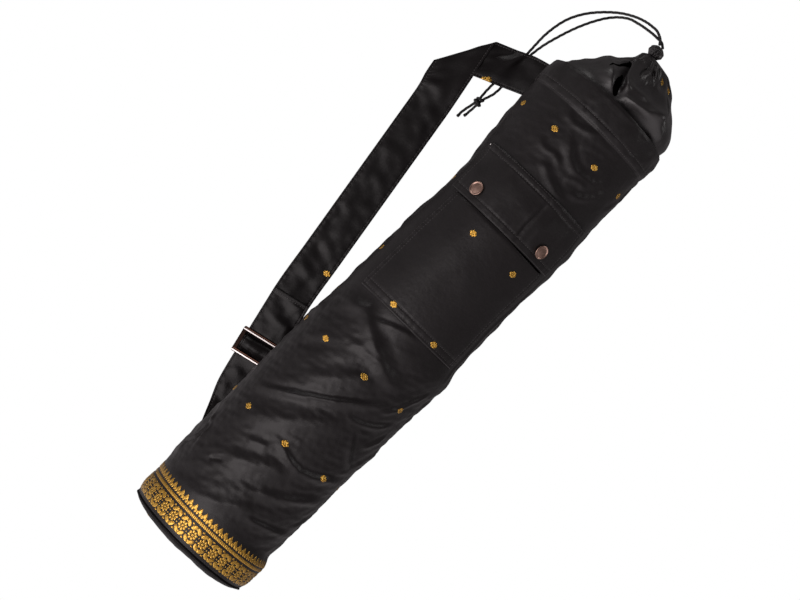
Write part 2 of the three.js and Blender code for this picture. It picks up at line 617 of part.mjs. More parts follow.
// A rectangle with rounded corners, centred, as a shape or as a hole in one.
function roundedRectangle(shape, length, width, corner, middleX = 0) {
  const [x0, x1, y0, y1] = [middleX - length / 2, middleX + length / 2, -width / 2, width / 2];
  shape.moveTo(x0 + corner, y0);
  shape.lineTo(x1 - corner, y0).absarc(x1 - corner, y0 + corner, corner, -Math.PI / 2, 0);
  shape.lineTo(x1, y1 - corner).absarc(x1 - corner, y1 - corner, corner, 0, Math.PI / 2);
  shape.lineTo(x0 + corner, y1).absarc(x0 + corner, y1 - corner, corner, Math.PI / 2, Math.PI);
  shape.lineTo(x0, y0 + corner).absarc(x0 + corner, y0 + corner, corner, Math.PI, 1.5 * Math.PI);
  return shape;
}

function sliderFrame() {
  const outline = roundedRectangle(new THREE.Shape(), SLIDER_LENGTH, SLIDER_WIDTH, SLIDER_CORNER);
  const window = (SLIDER_MIDDLE_BAR + SLIDER_WINDOW) / 2;
  for (const middle of [-window, window]) {
    const hole = roundedRectangle(
      new THREE.Path(), SLIDER_WINDOW, STRAP_WIDTH + 2 * SLIDER_PLAY, SLIDER_CORNER / 2, middle);
    outline.holes.push(hole);
  }
  return new THREE.ExtrudeGeometry(outline, {
    depth: SLIDER_THICKNESS, bevelEnabled: false, curveSegments: 2,
  });
}

// A round cord along a list of places.
function cordTube(places, steps) {
  const route = new THREE.CatmullRomCurve3(places.map((place) => vec(...place)), false, "centripetal");
  const ring = new THREE.Shape(Array.from({ length: CORD_SIDES }, (_, i) => {
    const angle = (2 * Math.PI * i) / CORD_SIDES;
    return new THREE.Vector2(CORD_RADIUS * Math.cos(angle), CORD_RADIUS * Math.sin(angle));
  }));
  return new THREE.ExtrudeGeometry(ring, { steps, extrudePath: route, curveSegments: 1 });
}

// The knot that ties both strands: two wraps of cord, drawn as a lump of their outline.
function knotLump() {
  const [from, to] = [vec(...KNOT_FROM), vec(...KNOT_TO)];
  const length = from.distanceTo(to);
  const profile = [
    new THREE.Vector2(0, 0),
    ...KNOT_OUTLINE.map(({ at, reach }) => new THREE.Vector2(reach * CORD_RADIUS, at * length)),
    new THREE.Vector2(0, length),
  ];
  const geometry = new THREE.LatheGeometry(profile, KNOT_SIDES);
  geometry.scale(1, 1, KNOT_FLATTENING);
  const along = to.clone().sub(from).normalize();
  const up = vec(0, 0, 1);
  const basis = new THREE.Matrix4().makeBasis(along.clone().cross(up), along, up);
  return geometry.applyMatrix4(basis.setPosition(from));
}

const satin = new THREE.MeshStandardMaterial({ color: 0x262224, roughness: 0.42 });
const strapSatin = new THREE.MeshStandardMaterial({ color: 0x1b1819, roughness: 0.4 });
const braid = new THREE.MeshStandardMaterial({ color: 0x171516, roughness: 0.7 });
const snapMetal = new THREE.MeshStandardMaterial({ color: 0xa08c80, roughness: 0.3, metalness: 1 });
const gunmetal = new THREE.MeshStandardMaterial({ color: 0x5a5353, roughness: 0.2, metalness: 1 });

const bag = new THREE.Group();
function addPiece(name, geometry, material) {
  const mesh = new THREE.Mesh(geometry, material);
  mesh.name = name;
  bag.add(mesh);
  return mesh;
}

addPiece("body_tube", bodyTube(), satin);
addPiece("base_disc", baseDisc(), satin);
addPiece("mouth_cuff", cuffRing(), satin);
addPiece("drawstring_collar", drawstringCollar(), satin);
addPiece("drawstring_channel", drawstringChannel(), satin);
addPiece("pocket_panel", pocketPanel(), satin);
addPiece("pocket_flap", flapPanel(), satin);

const snapX = FLAP_X + SNAP_FROM_EDGE;
for (const [name, sign] of [["snap_strap_side", 1], ["snap_far_side", -1]]) {
  const turn = FLAP_TURN + sign * THREE.MathUtils.radToDeg(SNAP_SPREAD / 2 / BODY_RADIUS);
  const snap = addPiece(name, snapCap(), snapMetal);
  snap.position.copy(onBody(snapX, turn, flapHeight(snapX) + FLAP_CLOTH + 2 * GAP));
  snap.quaternion.setFromUnitVectors(vec(0, 1, 0), outward(turn));
}

addPiece("strap_upper", upperStrap(), strapSatin);
addPiece("strap_lower", lowerStrap(), strapSatin);
const slider = addPiece("strap_slider", sliderFrame(), gunmetal);
slider.position.copy(SLIDER_PLACE).setZ(SLIDER_HEIGHT);
slider.rotation.z = radians(LOWER_HEADING);

for (const [name, places] of Object.entries({ ...CORD_ROUTES, ...CORD_TAILS })) {
  addPiece(name, cordTube(places, CORD_STEPS[name]), braid);
}
addPiece("cord_knot", knotLump(), braid);

export default bag;
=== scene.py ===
"""The looks of a satin yoga mat bag that lies on its back with its strap and cord beside it.

Lengths in the tables and functions are millimetres in the frame of the CAD part: +X from the base
to the drawn mouth, +Y towards the strap, +Z up. A turn is in degrees round the body, from the top
towards the strap, and an arc is that turn in millimetres along the cloth. Meshes are in metres.
"""
import math
from collections import namedtuple

import bmesh
import bpy
import numpy as np
from mathutils import Matrix, Vector


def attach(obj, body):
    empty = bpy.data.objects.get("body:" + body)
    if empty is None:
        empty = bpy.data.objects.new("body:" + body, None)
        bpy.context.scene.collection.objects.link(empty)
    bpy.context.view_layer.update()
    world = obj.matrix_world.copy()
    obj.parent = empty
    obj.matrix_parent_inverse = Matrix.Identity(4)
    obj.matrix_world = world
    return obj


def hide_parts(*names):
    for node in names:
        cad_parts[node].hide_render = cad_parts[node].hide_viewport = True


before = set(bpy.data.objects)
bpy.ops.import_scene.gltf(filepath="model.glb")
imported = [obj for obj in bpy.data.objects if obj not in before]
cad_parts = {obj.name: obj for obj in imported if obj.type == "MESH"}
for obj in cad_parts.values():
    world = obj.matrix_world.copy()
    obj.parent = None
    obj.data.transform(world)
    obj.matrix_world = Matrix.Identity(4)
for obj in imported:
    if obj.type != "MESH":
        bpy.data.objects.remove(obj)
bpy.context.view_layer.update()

MM = 0.001

# Sizes shared with the CAD part
BODY_LENGTH = 660.0
BODY_RADIUS = 79.0
BODY_FLATTENING = 0.96
REST_PRESS = 1.6
CUFF_LENGTH = 34.0
CUFF_STEP = 0.8
BASE_BULGE = 13.0
COLLAR_LENGTH = 73.0
NECK_SIDE = 5.0
NECK_DROP = 6.0
CHANNEL_LENGTH = 15.0
POCKET_TURN = -6.5
POCKET_WIDTH = 162.0
POCKET_HEIGHT = 172.0
POCKET_FROM_BASE = 332.5
FLAP_TURN = -2.8
FLAP_WIDTH = 176.0
FLAP_LENGTH = 67.0
FLAP_LAP = 28.0
SNAP_SPREAD = 101.6
SNAP_FROM_EDGE = 15.6
STRAP_WIDTH = 46.0
STRAP_CLOTH = 1.8
GAP = 0.3
SEAM_TURN = 130.0
CORD_DIAMETER = 3.0

BASE_X = -BODY_LENGTH / 2
CUFF_X = BODY_LENGTH / 2
CUFF_START = CUFF_X - CUFF_LENGTH
AXIS_Z = BODY_RADIUS * BODY_FLATTENING - REST_PRESS
POCKET_X = BASE_X + POCKET_FROM_BASE
POCKET_TOP = POCKET_X + POCKET_HEIGHT
FLAP_X = POCKET_TOP - FLAP_LAP
FLAP_END = FLAP_X + FLAP_LENGTH
NECK_X = CUFF_X + COLLAR_LENGTH
ROUND = 2 * math.pi * BODY_RADIUS
FLOOR_CLEARANCE = 0.05

# The camera as fitted to the photograph, with its lens in millimetres
CAMERA_PLACE = (19.2, 17.3, 2675.0)
CAMERA_ABOVE = 2600.0  # its height over the body's axis
CAMERA_TURN = -45.613
CAMERA_LENS = 106.4


# Camera, lights and pieces
def add_object(name, data):
    piece = bpy.data.objects.new(name, data)
    bpy.context.scene.collection.objects.link(piece)
    return piece


def aim_camera():
    """Looks straight down on the bag, turned as the photograph is."""
    data = bpy.data.cameras.new("camera")
    data.sensor_width = 36
    data.lens = CAMERA_LENS
    camera = add_object("camera", data)
    camera.location = Vector(CAMERA_PLACE) * MM
    camera.rotation_euler = (0, 0, math.radians(CAMERA_TURN))
    bpy.context.scene.camera = camera


def area_light(name, place, target, size, watts, colour):
    """A rectangular light, with its place, target and size in metres."""
    data = bpy.data.lights.new(name, "AREA")
    data.shape = "RECTANGLE"
    data.size, data.size_y = size
    data.energy = watts
    data.color = colour
    light = add_object(name, data)
    light.location = place
    light.rotation_euler = (Vector(target) - Vector(place)).to_track_quat("-Z", "Y").to_euler()


def dress(piece, slot, *nodes):
    """Ties a piece to the body and hides the nodes that it stands for. The slot is not used."""
    if nodes:
        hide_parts(*nodes)
    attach(piece, "root")
    return piece


# Small tools for shapes
def ease(value, start, end):
    t = np.clip((np.asarray(value, float) - start) / (end - start), 0, 1)
    return t * t * (3 - 2 * t)


def mix(a, b, t):
    return a + (b - a) * t


def bell(distance, width):
    """One at no distance, fading to almost nothing at twice the width."""
    return np.exp(-(distance / width) ** 2)


def ripple(u, step, sway, pace):
    """Even puckers whose rhythm sways."""
    return np.sin(u / step + sway * np.sin(u / pace))


# Columns of the tables of sections, after the place of each row
LEFT, RIGHT, HIGH = 1, 2, 3


def table_value(rows, at, column):
    """One column of a table at many shares, eased between rows as in the CAD part."""
    at = np.asarray(at, float)
    result = np.full(at.shape, float(rows[0][column]))
    for low, high in zip(rows, rows[1:]):
        eased = mix(low[column], high[column], ease(at, low[0], high[0]))
        result = np.where(at > low[0], eased, result)
    return result


def hermite(a, b, slope_a, slope_b, gap, t):
    """A smooth curve over a gap between two values, with a slope at each."""
    bend = (t ** 3 - 2 * t ** 2 + t) * gap * slope_a + (t ** 3 - t ** 2) * gap * slope_b
    return mix(a, b, t * t * (3 - 2 * t)) + bend


def curve_value(rows, at, column):
    """One column of a table at many places, on a smooth curve through its rows."""
    table = np.array(rows, float)
    places, values = table[:, 0], table[:, column]
    slopes = np.gradient(values, places)
    at = np.clip(np.asarray(at, float), places[0], places[-1])
    k = np.clip(np.searchsorted(places, at, side="right") - 1, 0, len(places) - 2)
    gap = places[k + 1] - places[k]
    t = (at - places[k]) / gap
    return hermite(values[k], values[k + 1], slopes[k], slopes[k + 1], gap, t)


def outward(turn):
    angle = np.radians(turn)
    return np.stack([np.zeros_like(angle), np.sin(angle), np.cos(angle)], -1)


def smooth_noise(u, v, scale_u, scale_v, seed):
    """Soft noise from -1 to 1 over two directions, the same in every run."""
    rng = np.random.default_rng(seed)
    total = np.zeros(np.broadcast(u, v).shape)
    for _ in range(9):
        angle, phase = rng.uniform(0, 2 * math.pi, 2)
        pace = rng.uniform(0.6, 1.6)
        wave = (u / scale_u * math.cos(angle) + v / scale_v * math.sin(angle)) * pace * 2 * math.pi
        total += np.sin(wave + phase)
    return total / 4.5


# A fold runs through its points. It slopes gently over its width to the right of its run, and
# steeply, over the sharp share of that width, to the left.
Fold = namedtuple("Fold", "points width height sharp", defaults=[0.5])


def out_of_reach(points, reach, u, v):
    low, high = points.min(0) - reach, points.max(0) + reach
    return low[0] > u.max() or high[0] < u.min() or low[1] > v.max() or high[1] < v.min()


def fold_relief(u, v, folds):
    """The height that a table of folds gives at places on the unrolled cloth."""
    u, v = np.broadcast_arrays(np.asarray(u, float), np.asarray(v, float))
    relief = np.zeros(u.shape)
    for fold in folds:
        points = np.array(fold.points, float)
        if out_of_reach(points, 3 * fold.width, u, v):
            continue
        spans = np.linalg.norm(np.diff(points, axis=0), axis=1)
        along = np.concatenate([[0], np.cumsum(spans)])
        best = np.full(relief.shape, 1e9)
        side = np.zeros(relief.shape)
        share = np.zeros(relief.shape)
        for k, span in enumerate(spans):
            (x0, y0), (dx, dy) = points[k], (points[k + 1] - points[k]) / span
            t = np.clip((u - x0) * dx + (v - y0) * dy, 0, span)
            far = np.hypot(u - x0 - t * dx, v - y0 - t * dy)
            closer = far < best
            best = np.where(closer, far, best)
            side = np.where(closer, (v - y0) * dx - (u - x0) * dy, side)
            share = np.where(closer, (along[k] + t) / along[-1], share)
        steep = fold.width * fold.sharp
        near = np.clip(side / 1.2, -1, 1) * 0.5 + 0.5
        hollow = 0.28 * near * np.exp(-((best / steep - 2.3) ** 2))
        fade = ease(share, 0, 0.22) * (1 - ease(share, 0.74, 1)) * 0.88 + 0.12
        relief += fold.height * (bell(best, mix(fold.width, steep, near)) - hollow) * fade
    return relief


def make_mesh(name, points, faces, coords, material):
    """A smooth mesh from points in millimetres, with cloth coordinates in metres as its UV."""
    mesh = bpy.data.meshes.new(name)
    mesh.from_pydata((np.asarray(points, float) * MM).tolist(), [], [list(f) for f in faces])
    mesh.update()
    mesh.shade_smooth()
    layer = mesh.uv_layers.new(name="cloth")
    index = np.empty(len(mesh.loops), int)
    mesh.loops.foreach_get("vertex_index", index)
    layer.data.foreach_set("uv", (np.asarray(coords, float)[index] * MM).ravel())
    mesh.materials.append(material)
    return add_object(name, mesh)


def grid_faces(rows, columns):
    """Quads of a grid whose front is the side that rows cross columns face."""
    r, c = np.meshgrid(np.arange(rows - 1), np.arange(columns - 1), indexing="ij")
    a, b = r * columns + c, (r + 1) * columns + c
    return np.stack([a, b, b + 1, a + 1], -1).reshape(-1, 4).tolist()


def sheet_mesh(name, points, coords, material, closed=False):
    """A mesh from a grid of points. A closed grid repeats its first column as its last."""
    faces = grid_faces(*points.shape[:2])
    piece = make_mesh(name, points.reshape(-1, 3), faces, coords.reshape(-1, 2), material)
    if closed:
        weld(piece)
    return piece


def weld(piece):
    work = bmesh.new()
    work.from_mesh(piece.data)
    bmesh.ops.remove_doubles(work, verts=work.verts, dist=0.00002)
    work.to_mesh(piece.data)
    work.free()
    piece.data.shade_smooth()


# Materials
class Nodes:
    """A short way to build the nodes of a material or a world."""

    def __init__(self, owner, shader="Principled BSDF"):
        owner.use_nodes = True
        self.owner = owner
        self.tree = owner.node_tree
        self.shader = self.tree.nodes[shader]

    def give(self, node, values):
        """Gives each named input its value, or links it where that is an output."""
        for name, value in values.items():
            socket = node.inputs[name.replace("_", " ") if isinstance(name, str) else name]
            if isinstance(value, bpy.types.NodeSocket):
                self.tree.links.new(value, socket)
            else:
                socket.default_value = value

    def add(self, kind, output, *first, settings=(), **named):
        """A node with its first inputs in order and others by name. Returns one output."""
        node = self.tree.nodes.new("ShaderNode" + kind)
        for name, value in dict(settings).items():
            setattr(node, name, value)
        self.give(node, dict(enumerate(first)))
        self.give(node, named)
        return node.outputs[output]

    def coords(self, source="UV"):
        return self.add("TexCoord", source)

    def noise(self, vector, scale, detail=2.0, rough=0.5):
        return self.add("TexNoise", "Fac", Vector=vector, Scale=scale, Detail=detail, Roughness=rough)

    def wave(self, vector, scale, distortion):
        return self.add("TexWave", "Fac", Vector=vector, Scale=scale, Distortion=distortion)

    def blend(self, first, share, second):
        """A share of one value and the rest of another."""
        multiply = {"operation": "MULTIPLY"}
        a = self.add("Math", 0, first, share, settings=multiply)
        b = self.add("Math", 0, second, 1 - share, settings=multiply)
        return self.add("Math", 0, a, b, settings={"operation": "ADD"})

    def spread(self, factor, low, high):
        return self.add("MapRange", "Result", Value=factor, To_Min=low, To_Max=high)

    def ramp(self, factor, stops):
        node = self.tree.nodes.new("ShaderNodeValToRGB")
        elements = node.color_ramp.elements
        while len(elements) < len(stops):
            elements.new(0.5)
        for element, (place, colour) in zip(elements, stops):
            element.position = place
            element.color = (*colour, 1)
        self.give(node, {"Fac": factor})
        return node.outputs["Color"]

    def bump(self, height, distance, strength, **under):
        return self.add("Bump", "Normal", Height=height, Distance=distance, Strength=strength, **under)

    def finish(self, **values):
        self.give(self.shader, values)
        return self.owner


def satin(name, dark, light, roughness, specular, crinkle=0.00035):
    """Black satin: fine slanted floats, soft crinkles and slight streaks in its colour."""
    m = Nodes(bpy.data.materials.new(name))
    cloth = m.coords()
    threads = m.add("Mapping", "Vector", Vector=cloth, Scale=(1, 0.12, 1))
    slanted = m.add("Mapping", "Vector", Vector=cloth, Rotation=(0, 0, 0.9))
    tone = m.blend(m.noise(threads, 900, 3, 0.6), 0.4, m.noise(cloth, 22, 3, 0.55))
    crinkles = m.bump(m.noise(cloth, 130, 3, 0.55), crinkle, 0.55)
    return m.finish(
        Base_Color=m.ramp(tone, [(0.3, dark), (0.7, light)]),
        Roughness=m.spread(m.noise(cloth, 60), roughness - 0.05, roughness + 0.06),
        Normal=m.bump(m.wave(slanted, 420, 1.5), 0.00004, 0.35, Normal=crinkles),
        Specular_IOR_Level=specular, Anisotropic=0.3,
        Sheen_Weight=0.012, Sheen_Roughness=0.4, Sheen_Tint=(0.9, 0.85, 0.87, 1))


def zari(name):
    """Gold thread woven in close rows."""
    m = Nodes(bpy.data.materials.new(name))
    cloth = m.coords()
    rows = m.wave(cloth, 330, 0.6)
    glint = m.noise(cloth, 700, 3, 0.7)
    colours = [(0.25, (0.07, 0.022, 0.001)), (0.5, (0.48, 0.215, 0.018)), (0.78, (1.0, 0.72, 0.19))]
    return m.finish(Base_Color=m.ramp(m.blend(rows, 0.45, glint), colours),
                    Roughness=m.spread(glint, 0.2, 0.37), Normal=m.bump(rows, 0.00012, 0.7), Metallic=1.0)


def thread(name, colour):
    m = Nodes(bpy.data.materials.new(name))
    twist = m.noise(m.coords("Object"), 1800)
    hollow = tuple(c * 0.6 for c in colour)
    return m.finish(Base_Color=m.ramp(twist, [(0.3, hollow), (0.7, colour)]), Roughness=0.45,
                    Normal=m.bump(twist, 0.0001, 0.5))


def braid(name):
    m = Nodes(bpy.data.materials.new(name))
    fibre = m.noise(m.coords(), 1500, 3)
    colours = [(0.3, (0.0015, 0.0014, 0.0014)), (0.75, (0.006, 0.0054, 0.0054))]
    return m.finish(Base_Color=m.ramp(fibre, colours), Roughness=m.spread(fibre, 0.5, 0.75),
                    Normal=m.bump(fibre, 0.0001, 0.5), Sheen_Weight=0.02, Specular_IOR_Level=0.3)


def brushed(name, dark, light, low, high):
    """Plated metal with faint brushing, worn brighter in spots."""
    m = Nodes(bpy.data.materials.new(name))
    place = m.coords("Object")
    wear = m.noise(place, 260, 4, 0.6)
    return m.finish(Base_Color=m.ramp(wear, [(0.32, dark), (0.7, light)]),
                    Roughness=m.spread(wear, high, low), Normal=m.bump(m.noise(place, 2600), 0.00003, 0.4), Metallic=1.0)


def slider_bars_with_painted_highlights(name, bar_share):
    """Dark plated metal with painted highlights: one thin bright line and one thin brown line painted along
    each outer bar.

    U runs across the bars, from 0 to 1 over the frame, and each outer bar takes a share of it.
    """
    m = Nodes(bpy.data.materials.new(name))
    dark, painted_brown_highlight, painted_highlight = (0.010, 0.006, 0.005), (0.07, 0.034, 0.024), (0.66, 0.62, 0.60)
    lines = ((0.14, dark), (0.22, painted_highlight), (0.38, painted_highlight), (0.46, dark), (0.62, dark), (0.7, painted_brown_highlight),
             (0.78, painted_brown_highlight), (0.86, dark))
    stops = [(start + share * bar_share, colour) for start in (0, 1 - bar_share) for share, colour in lines]
    return m.finish(Base_Color=m.ramp(m.add("SeparateXYZ", "X", m.coords()), stops),
                    Metallic=1.0, Roughness=0.16)


def plain(name, colour, **values):
    """A dull surface of one colour."""
    m = Nodes(bpy.data.materials.new(name))
    return m.finish(Base_Color=(*colour, 1), Roughness=1.0, Specular_IOR_Level=0.0, **values)


SATIN = satin("satin_black", (0.0044, 0.0035, 0.0037), (0.0080, 0.0066, 0.0069), 0.41, 0.24, 0.0006)
STRAP_SATIN = satin("satin_strap", (0.0021, 0.0016, 0.0017), (0.0050, 0.0040, 0.0041), 0.32, 0.15)
# Painted shade: a darker copy of the body's satin for the base and its seam
BASE_SATIN_PAINTED_SHADE = satin("satin_base_painted_shade", (0.0014, 0.0011, 0.0012), (0.0034, 0.0028, 0.0029), 0.5, 0.04)
# Painted light: a lighter copy of the body's satin for the collar and the channel, standing in for the light
# they catch
COLLAR_SATIN_PAINTED_LIGHT = satin("satin_collar_painted_light", (0.0065, 0.0053, 0.0056), (0.0110, 0.0092, 0.0096), 0.38, 0.46)
GOLD = zari("zari_gold")
STITCH = thread("stitch_black", (0.030, 0.026, 0.027))
TACK = thread("tack_pale", (0.62, 0.60, 0.58))
BRAID = braid("braid_black")
SNAP_METAL = brushed("snap_metal", (0.22, 0.138, 0.108), (0.38, 0.255, 0.21), 0.28, 0.42)
# Painted shade: a flat black material for sheets laid where the cloth's tucks and gaps are too deep for light
SHADE = plain("tuck_and_gap_painted_shade", (0.0012, 0.0010, 0.0010))  # cloth in a tuck too deep for light


# The body's cloth. Its reach towards and away from the strap, at shares of its length
BODY_SECTIONS = [
    (0, 0.975, 0.985),
    (0.02, 1.01, 1.015),
    (0.05, 0.985, 1.025),
    (0.075, 1.0, 0.965),
    (0.115, 1.02, 0.98),
    (0.2, 1.01, 1.0),
    (0.345, 1.005, 1.025),
    (0.41, 0.995, 1.04),
    (0.475, 0.96, 1.08),
    (0.52, 0.96, 1.015),
    (0.62, 0.935, 1.005),
    (0.73, 0.893, 1.035),
    (0.775, 0.895, 1.04),
    (0.84, 0.955, 1.005),
    (0.895, 1.0, 1.0),
    (0.975, 1.01, 1.01),
    (1, 0.99, 0.985),
]
# Folds of the body, each through places as they are seen in the photograph, from top to bottom
SEEN_FOLDS = [
    Fold([(-294, 50), (-287, 24), (-279, 7), (-270, -7), (-263, -23), (-256, -40)], 9, 1.6, 0.8),
    Fold([(-272, -24), (-264, -50), (-252, -74)], 5, 1.3, 0.5),
    Fold([(-275, 38), (-265, 14), (-253, -6), (-244, -24)], 10, 0.8, 0.6),
    Fold([(-240, 38), (-230, 21), (-222, 7), (-215, -5), (-208, -17), (-201, -30)], 8, 2.1, 0.8),
    Fold([(-242, -10), (-238, -26), (-230, -40), (-220, -54), (-209, -66), (-200, -77)], 7, 1.8, 0.6),
    Fold([(-208, 32), (-202, 18), (-197, 5)], 6, 1.0, 0.5),
    Fold([(-184, 4), (-189, -10), (-193, -24), (-193, -35), (-188, -48),
          (-179, -63), (-171, -76)], 6, 1.9, 0.5),
    Fold([(-190, 58), (-178, 37), (-167, 21), (-156, 7), (-143, -10), (-129, -26),
          (-117, -42)], 10, 2.1, 0.8),
    Fold([(-160, 66), (-151, 52), (-143, 39), (-134, 25), (-125, 11), (-116, -2), (-107, -14),
          (-95, -29), (-82, -45), (-72, -60)], 6, 2.6, 0.5),
    Fold([(-131, 17), (-123, 4), (-114, -10)], 2.2, -0.8, 0.7),
    Fold([(-116, 38), (-105, 24), (-94, 11), (-82, -3), (-74, -16), (-69, -34)], 9, 1.6, 0.8),
    Fold([(-115, -28), (-109, -46), (-99, -62), (-86, -73)], 4, 1.4, 0.6),
    Fold([(-122, -50), (-134, -57), (-144, -64), (-154, -73)], 4.5, 1.2, 0.5),
    Fold([(-88, -52), (-70, -64), (-52, -71), (-32, -79)], 4, 1.3, 0.5),
    Fold([(-25, 66), (-19, 50), (-16, 37), (-24, 24), (-34, 8), (-42, -8), (-50, -24), (-53, -42),
          (-50, -60)], 9, 2.5, 0.8),
    Fold([(-54, 26), (-47, 10), (-49, -6)], 5, 0.9, 0.7),
    Fold([(-16, 22), (-9, 6), (-3, -10), (1, -28)], 5, 1.2, 0.45),
    Fold([(-260, 79), (-247, 73), (-231, 71), (-214, 73)], 3.2, -1.4, 0.6),
    Fold([(-254, 67), (-239, 68), (-224, 71), (-208, 77)], 3.2, 1.1, 0.7),
    Fold([(-252, 47), (-246, 40), (-240, 33)], 3.4, -1.4, 0.6),
    Fold([(-92, 66), (-80, 50), (-66, 38)], 10, -1.0, 0.6),
    Fold([(-128, -66), (-112, -74), (-96, -77)], 4, 1.0, 0.6),
    Fold([(282, 12), (270, 2), (259, -10), (254, -24), (257, -40), (266, -54)], 7, 1.3, 0.6),
    Fold([(297, 36), (291, 16), (295, 0), (303, -14)], 5, 0.9, 0.7),
    Fold([(240, 14), (230, -4), (224, -20), (222, -36)], 5, 0.9, 0.8),
    Fold([(230, -32), (238, -47), (248, -56), (263, -62)], 5, 1.0, 0.7),
    Fold([(253, 36), (250, 22), (252, 8), (246, -8)], 5, 0.8, 0.7),
    Fold([(239, -16), (247, -28), (250, -44)], 4, 0.8, 0.7),
]
# Folds on the sides, where the photograph doesn't reach: station and arc round the body
SIDE_FOLDS = [
    Fold([(-20, -96), (10, -104), (60, -100), (110, -106), (160, -104)], 5, 1.2),
    Fold([(-272, 128), (-264, 104), (-262, 86)], 8, 1.2),
    Fold([(-206, 126), (-196, 104), (-190, 88)], 7, 1.0),
    Fold([(-60, 124), (-48, 104), (-40, 88)], 8, 1.2),
    Fold([(-240, -92), (-226, -112), (-206, -130)], 7, 1.2),
    Fold([(-150, -90), (-128, -110), (-112, -132)], 7, 1.3),
    Fold([(-70, -96), (-52, -116), (-24, -130)], 7, 1.2),
    Fold([(240, -90), (262, -112), (286, -126)], 7, 1.0),
    Fold([(60, 92), (84, 112), (120, 128)], 8, 1.0),
]
FOLD_RISE = 1.45


def from_camera(seen, height):
    """Station and side of a place at a height over the axis, from where it is seen in its plane."""
    nearer = 1 - height / CAMERA_ABOVE
    return [eye + (place - eye) * nearer for eye, place in zip(CAMERA_PLACE, seen)]


def cloth_place(*seen):
    """Station and arc of a place on the body from where it is seen, in the plane of its axis."""
    arc = 0.0
    for _ in range(8):
        x, y = from_camera(seen, AXIS_Z * math.cos(arc / BODY_RADIUS))
        reach = float(table_value(BODY_SECTIONS, (x - BASE_X) / BODY_LENGTH, LEFT if y > 0 else RIGHT))
        arc = BODY_RADIUS * math.asin(max(-0.995, min(0.995, y / (BODY_RADIUS * reach))))
    return x, arc


BODY_FOLDS = [
    fold._replace(height=fold.height * FOLD_RISE, points=[cloth_place(*seen) for seen in fold.points])
    for fold in SEEN_FOLDS] + SIDE_FOLDS


def body_detail(x, arc):
    """Folds, sag and small unevenness of the body's cloth."""
    relief = fold_relief(x, arc, BODY_FOLDS)
    free = np.maximum(1 - ease(x, -40, 20), 0.7 * ease(x, 205, 235)) * ease(x, BASE_X + 38, BASE_X + 62)
    slanted = smooth_noise(x * 0.86 + arc * 0.5, arc * 0.86 - x * 0.5, 26, 110, 7)
    fine = smooth_noise(x * 0.86 + arc * 0.5, arc * 0.86 - x * 0.5, 9, 40, 8)
    relief += free * (0.5 * slanted + 0.14 * fine + 0.2 * smooth_noise(x, arc, 18, 30, 11)
                      + 0.2 * smooth_noise(x, arc, 12, 14, 31))
    relief += 0.18 * smooth_noise(x, arc, 46, 60, 5)
    side = ease(np.abs(arc), 92, 120)
    relief += side * (0.8 * smooth_noise(x, arc, 38, 26, 21) + 0.5 * smooth_noise(x, arc, 70, 40, 22))
    relief += bell(arc + 116, 2.2) * (0.9 + 0.25 * np.sin(x / 5.5))
    relief += bell(x - (CUFF_START - 1.0), 1.8) * (-0.35 + 0.12 * np.sin(arc / 2.6))
    return relief - 0.8 * bell(x - BASE_X, 2.5)


def body_skin(x, turn, raise_by=0.0):
    """Places on the body's cloth, or raised above it, at stations and turns."""
    x, turn = np.broadcast_arrays(np.asarray(x, float), np.asarray(turn, float))
    at = (x - BASE_X) / BODY_LENGTH
    out = outward(turn)
    left, right = (table_value(BODY_SECTIONS, at, side) for side in (LEFT, RIGHT))
    relief = body_detail(x, np.radians(turn) * BODY_RADIUS) + raise_by
    y = out[..., 1] * (mix(right, left, ease(out[..., 1], -0.3, 0.3)) * BODY_RADIUS + relief)
    z = AXIS_Z + out[..., 2] * (BODY_RADIUS * BODY_FLATTENING + relief)
    return np.stack([x, y, np.maximum(z, FLOOR_CLEARANCE)], -1)


def turn_of_arc(arc):
    return np.degrees(np.asarray(arc, float) / BODY_RADIUS)


def on_body(x, arc, lift):
    return body_skin(x, turn_of_arc(arc), lift)


def build_tube(name, node, stations, turns, surface, material):
    """A tube of cloth from a surface that takes stations and turns."""
    x, turn = np.meshgrid(stations, turns, indexing="ij")
    coords = np.stack([x, np.radians(turn) * BODY_RADIUS], -1)
    dress(sheet_mesh(name, surface(x, turn), coords, material, closed=True), "satin", node)


def build_body():
    """Rows and columns are close where folds show, and wider under the pocket and behind."""
    plain_from, plain_to = POCKET_X + 12, FLAP_END - 10
    stations = np.concatenate([np.arange(BASE_X, plain_from, 1.45), np.arange(plain_from, plain_to, 3),
                               np.arange(plain_to, CUFF_START + 3, 1.5), [CUFF_START + 4]])
    turns = np.concatenate([np.linspace(-180, -80, 46), np.arange(-79, 80, 1.0), np.linspace(80, 180, 46)])
    build_tube("body_cloth", "body_tube", stations, turns, body_skin, SATIN)


# The hem round the mouth. Its stitch rows lie at distances from its start
CUFF_ROWS = (1.8, 9.5)
CUFF_CLOTH = 3.2
CUFF_ROLL = 8.0


def cuff_surface(x, turn):
    """The hem's outside: a step up from the body, two stitched rows and soft folds."""
    arc = np.radians(turn) * BODY_RADIUS
    from_start = x - CUFF_START
    step = 0.45 * ease(from_start, -1.0, 2.4) + 0.55 * ease(from_start, 0, 9)
    lean = 0.1 * bell(from_start - 5, 3.2)
    rows = -0.4 * bell(from_start - CUFF_ROWS[1], 1.0) - 0.3 * bell(from_start - CUFF_ROWS[0], 0.8)
    pucker = 0.22 * bell(from_start - CUFF_ROWS[1], 4.0) * ripple(arc, 1.9, 2, 17)
    folds = 0.5 * smooth_noise(x, arc, 60, 34, 31) * ease(from_start, 12, 20)
    edge = -0.5 * ease(x, CUFF_X - 2.5, CUFF_X)
    points = body_skin(x, turn, (CUFF_STEP + 0.5) * step + lean + rows + pucker + folds + edge)
    upper = np.maximum(0, outward(turn)[..., 2])
    points[..., 0] += (4.2 * upper - 3.2) * ease(x, CUFF_START + 14, CUFF_X)
    return points


